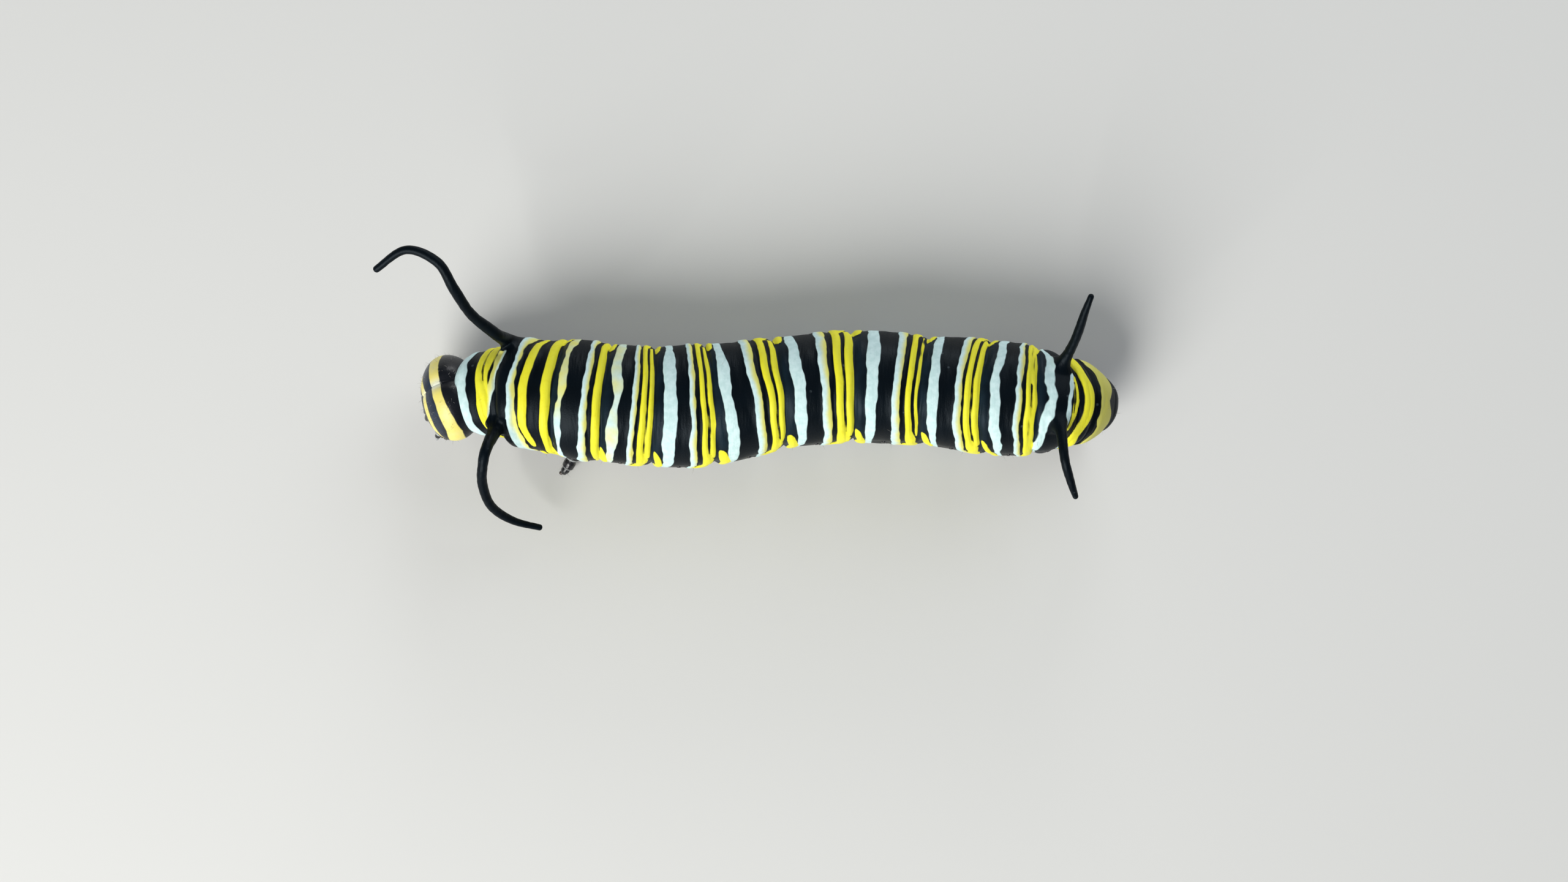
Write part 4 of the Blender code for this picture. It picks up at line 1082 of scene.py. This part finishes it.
def lay_out(name, template, places, facings, sizes, finish):
    """Set a copy of a small piece on every place, its own Z along the facing there."""
    global nodes, links
    carrier_mesh = bpy.data.meshes.new(name + "_places")
    carrier_mesh.from_pydata((np.array(places) * MM).tolist(), [], [])
    facing = carrier_mesh.attributes.new("facing", "QUATERNION", "POINT")
    facing.data.foreach_set("value", np.array(facings, np.float32).ravel())
    size = carrier_mesh.attributes.new("size", "FLOAT_VECTOR", "POINT")
    size.data.foreach_set("vector", (np.array(sizes, np.float32) * MM).ravel())
    carrier, pattern = put(name + "_places", carrier_mesh), put(name + "_pattern", template)
    tree = bpy.data.node_groups.new("set_on_places", "GeometryNodeTree")
    for socket_name, kind in (("Places", "Geometry"), ("Piece", "Object"), ("Finish", "Material"),
                              ("Size", "Float")):
        tree.interface.new_socket(socket_name, in_out="INPUT", socket_type="NodeSocket" + kind)
    tree.interface.new_socket("Result", in_out="OUTPUT", socket_type="NodeSocketGeometry")
    nodes, links = tree.nodes, tree.links
    given = nodes.new("NodeGroupInput").outputs
    points = add_node("GeometryNodeMeshToPoints", {"Mesh": given["Places"]}, "Points")
    shape = add_node("GeometryNodeObjectInfo", {"Object": given["Piece"]}, "Geometry")
    turned, own_size = (
        add_node("GeometryNodeInputNamedAttribute", {"Name": field}, "Attribute", data_type=kind)
        for field, kind in (("facing", "QUATERNION"), ("size", "FLOAT_VECTOR")))
    scaled = add_node("ShaderNodeVectorMath", {0: own_size, "Scale": given["Size"]}, "Vector",
                      operation="SCALE")
    stamps = {"Points": points, "Instance": shape, "Rotation": turned, "Scale": scaled}
    copies = add_node("GeometryNodeInstanceOnPoints", stamps, "Instances")
    solid = add_node("GeometryNodeRealizeInstances", {"Geometry": copies}, "Geometry")
    dressed = {"Geometry": solid, "Material": given["Finish"]}
    dressed = add_node("GeometryNodeSetMaterial", dressed, "Geometry")
    links.new(dressed, nodes.new("NodeGroupOutput").inputs["Result"])
    setting = carrier.modifiers.new("set", "NODES")
    setting.node_group = tree
    sockets = {item.name: item.identifier for item in tree.interface.items_tree if item.in_out == "INPUT"}
    setting[sockets["Piece"]] = pattern
    setting[sockets["Finish"]] = finish
    setting[sockets["Size"]] = 1.0
    depsgraph = bpy.context.evaluated_depsgraph_get()
    result = bpy.data.meshes.new_from_object(carrier.evaluated_get(depsgraph))
    result.name = name
    result.shade_smooth()
    piece = put(name, result)
    for spare in (carrier, pattern):
        bpy.data.objects.remove(spare)
    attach(piece, "root")
    return piece


def facing_to(normal, roll=0.0):
    """Turn that brings a template's Z onto a direction and its Y as near upward as it can."""
    z = Vector(normal).normalized()
    x = Vector((0, 0, 1)).cross(z)
    x = x.normalized() if x.length > 1e-4 else Vector((1, 0, 0))
    turn_matrix = Matrix((x, z.cross(x), z)).transposed() @ Matrix.Rotation(roll, 3, "Z")
    return tuple(turn_matrix.to_quaternion())


def lathe(name, profile, sides, squash=1.0):
    """A turned template from (radius, height) pairs, closed at both ends."""
    spin = np.linspace(0, 2 * math.pi, sides, endpoint=False)
    points = [(radius * math.cos(t) * squash, radius * math.sin(t), height)
              for radius, height in profile for t in spin]
    faces = ring_faces(len(profile), sides)
    faces += [list(range(sides))[::-1], list(range(len(points) - sides, len(points)))]
    mesh = bpy.data.meshes.new(name)
    mesh.from_pydata(points, [], faces)
    face_outward(mesh)
    return mesh


# Eyes: six small glassy beads of clear horn in a ring low on each cheek, each set in a
# raised rim of the capsule. They are turned and sunk a little into it.
eye_paint = mottled_paint("eye_glass", 0.08, 0.5, (5.0, 2.0), (0.010, 0.006, 0.004),
                          (0.035, 0.022, 0.015), (30.0, 1.0, 0.05, 0.01))
nodes["Principled BSDF"].inputs["Coat Weight"].default_value = 0.6
EYE_RADIUS = 0.13
EYE_TURN, EYE_LEVEL, EYE_RING = 58, -0.50, 0.20
eye_profile = [(1.28, -0.35), (1.24, 0.02), (1.12, 0.14), (1.02, 0.10), (0.97, 0.14)]
eye_profile += [(0.97 * math.cos(bend), 0.14 + 0.62 * math.sin(bend)) for bend in (0.3, 0.6, 0.9, 1.2, 1.42)]
eye_places, eye_facings = [], []
for side in (-1, 1):
    for number in range(6):
        bend = math.radians(-20 + 40 * number)
        azimuth = side * (math.radians(EYE_TURN) + EYE_RING * math.cos(bend))
        level = EYE_LEVEL + EYE_RING * math.sin(bend)
        place = head_spot(azimuth, level)
        across = head_spot(azimuth + 0.03, level) - head_spot(azimuth - 0.03, level)
        upward = head_spot(azimuth, level + 0.03) - head_spot(azimuth, level - 0.03)
        normal = np.cross(across, upward)
        normal = unit(normal * np.sign(normal @ (place - np.array(HEAD_CENTRE))))
        eye_places.append(place - normal * 0.02)
        eye_facings.append(facing_to(normal))
lay_out("eyes", lathe("eye", eye_profile, 24), eye_places, eye_facings,
        [(EYE_RADIUS * 0.86,) * 3] * 12, eye_paint)

# Breathing holes: an oval horn ring with a sunken slit on each flank, one pair on the
# first thorax segment and one on each of the first eight abdomen segments.
HOLE_RADIUS = 0.17
HOLE_DOWN = 95
HOLE_PLACES = [0.40] + [segment + 0.45 for segment in range(3, 11)]
hole_profile = ((1.10, -0.30), (1.00, 0.10), (0.86, 0.22), (0.68, 0.20), (0.52, 0.04),
                (0.22, -0.12), (0.08, -0.20))
hole_places, hole_facings = [], []
for side in (-1, 1):
    for place in HOLE_PLACES:
        angle = math.pi / 2 - side * math.radians(HOLE_DOWN)
        row = int(np.argmin(np.abs(skin_places - place)))
        column = int(round(angle / (2 * math.pi) * SIDES)) % SIDES
        normal = outward(row, column)
        hole_places.append(skin_grid[row, column] + normal * 0.005)
        hole_facings.append(facing_to(normal))
lay_out("breathing_holes", lathe("hole", hole_profile, 28, 0.62), hole_places, hole_facings,
        [(HOLE_RADIUS,) * 3] * 18, shell_paint)


SPIKE_TIP = 0.04


def bent_spike(name, rings, sides, bow):
    """A template one unit tall that tapers to a point and bows over toward X."""
    points = []
    for row in range(rings):
        share = row / rings
        radius = (1 - share) ** 0.8 * (1 - SPIKE_TIP) + SPIKE_TIP
        points += [(radius * math.cos(2 * math.pi * i / sides) + bow * share ** 2,
                    radius * math.sin(2 * math.pi * i / sides), share) for i in range(sides)]
    points.append((bow, 0, 1))
    faces = ring_faces(rings, sides)
    top = (rings - 1) * sides
    faces += [[top + i, top + (i + 1) % sides, rings * sides] for i in range(sides)]
    faces.append(list(range(sides))[::-1])
    mesh = bpy.data.meshes.new(name)
    mesh.from_pydata(points, [], faces)
    return mesh


# Foot hooks: a row of tiny brown hooks of hard horn round the inner edge of each false
# foot, set higher and lower by turns. They are rooted in the pad of the foot.
HOOK_COUNT = 25
HOOK_SIZE = (0.016, 0.016, 0.12)
hook_places, hook_facings, hook_sizes = [], [], []
for centre, side, size in foot_soles:
    for number in range(HOOK_COUNT):
        bend = math.radians(-72 + 6 * number)
        away = np.array((math.sin(bend), -side * math.cos(bend), 0.0))
        spot = centre + away * np.array((0.47, 0.37, 0)) * size
        spot[2] = 0.085 + 0.012 * (number % 2)
        hook_places.append(spot)
        hook_facings.append(facing_to(away + np.array((0, 0, 0.1)), -math.pi / 2))
        hook_sizes.append(HOOK_SIZE)
lay_out("foot_hooks", bent_spike("hook", 5, 5, 3.0), hook_places, hook_facings, hook_sizes,
        claw_paint)

# Bristles: sparse fine hairs on the flanks, belly, false legs, head and walking legs. They
# are pale and stiff, rooted in the skin or the horn, and those of the body lean backward.
bristle_paint = mottled_paint("bristle", 0.40, 0.5, (1.5, 2.0), (0.20, 0.20, 0.19), (0.55, 0.54, 0.50))
BRISTLE_RADIUS = 0.0075
BRISTLE_CLEAR = 0.14
LEG_GIRTHS = ((0, 0.40), (0.45, 0.28), (0.75, 0.22), (1.0, 0.14))
MAP_REACH = 16.0
HAIR_PATCH = 0.003
bristle_rng = np.random.default_rng(19)
roots, bristle_facings, bristle_sizes = [], [], []


def sow_bristles(points, normals, weights, count, shortest, longest, lean):
    """Root hairs at weighted random points, square to the skin but for a lean."""
    chosen = bristle_rng.choice(len(points), count, replace=False, p=weights / weights.sum())
    for number in chosen:
        way = unit(normals[number] + np.array(lean) + bristle_rng.normal(0, 0.22, 3))
        length = bristle_rng.uniform(shortest, longest)
        if points[number][2] + way[2] * length < BRISTLE_CLEAR:
            continue
        roots.append(points[number] - normals[number] * 0.01)
        bristle_facings.append(facing_to(way, roll=bristle_rng.uniform(0, FULL_TURN)))
        bristle_sizes.append((BRISTLE_RADIUS, BRISTLE_RADIUS, length))


def surface(mesh):
    """Points of a mesh in millimetres and its normals there."""
    read = np.empty((2, len(mesh.vertices) * 3))
    for values, kind in zip(read, ("co", "normal")):
        mesh.vertices.foreach_get(kind, values)
    return read[0].reshape(-1, 3) / MM, read[1].reshape(-1, 3)


points, normals = surface(skin_mesh)
weights = np.where((points[:, 2] < 2.6) & (points[:, 2] > 0.10), 1.0, 0.03)
# None grow on the feelers, and more on the false legs.
foot_start = int(renumber[len(skin) - 1]) + 1
feeler_start = foot_start + sum(len(part) for part in limb_points[:foot_parts])
weights[feeler_start:] = 0
weights[foot_start:feeler_start] *= 3
sow_bristles(points, normals, weights, 900, 0.12, 0.30, (0.3, 0, -0.1))
ball_points, ball_normals = surface(head_mesh)
weights = np.where(ball_points[:, 0] < HEAD_CENTRE[0] + 0.4, 1.0, 0.0)
sow_bristles(ball_points, ball_normals, weights, 150, 0.10, 0.24, (-0.1, 0, -0.2))
for path in leg_paths:
    path = np.array(path)
    for number, spot in enumerate(path):
        for _ in range(2):
            way = bristle_rng.normal(0, 1, 3)
            axis = unit(path[min(number + 1, len(path) - 1)] - path[max(number - 1, 0)])
            way = unit(way - axis * (way @ axis))
            length = bristle_rng.uniform(0.14, 0.26)
            if spot[2] + min(way[2], 0) * (length + 0.4) < BRISTLE_CLEAR:
                continue
            radius = np.interp(number / len(path), *zip(*LEG_GIRTHS))
            roots.append(spot + way * radius * 0.9)
            bristle_facings.append(facing_to(way + axis * 0.6))
            bristle_sizes.append((BRISTLE_RADIUS, BRISTLE_RADIUS, length))
bristles = lay_out("bristles", bent_spike("hair", 4, 3, 12.0), roots, bristle_facings, bristle_sizes,
                   bristle_paint)
# Each hair has its own small patch of the map, set by where its root lies.
bake_map = bristles.data.uv_layers.new(name="OFBake")
corners = np.empty(len(bristles.data.loops), int)
bristles.data.loops.foreach_get("vertex_index", corners)
per_hair = len(bristles.data.vertices) // len(roots)
roots_array = np.array(roots)
spread_u = (roots_array[:, 0] + MAP_REACH) / (2 * MAP_REACH) * 0.98 + 0.01
body_middle = np.interp(roots_array[:, 0], middle_points[:, 0], middle_points[:, 1])
spread_v = np.arctan2(roots_array[:, 2] - 2.6, roots_array[:, 1] - body_middle) / (2 * math.pi) + 0.5
spread_v = spread_v * 0.97 + 0.01
local = np.arange(per_hair)
local_u = (local % 3) / 3 * HAIR_PATCH
local_v = (local // 3) / 5 * HAIR_PATCH
hair, part = corners // per_hair, corners % per_hair
bake_map.data.foreach_set("uv", np.stack((spread_u[hair] + local_u[part],
                                         spread_v[hair] + local_v[part]), 1).ravel())
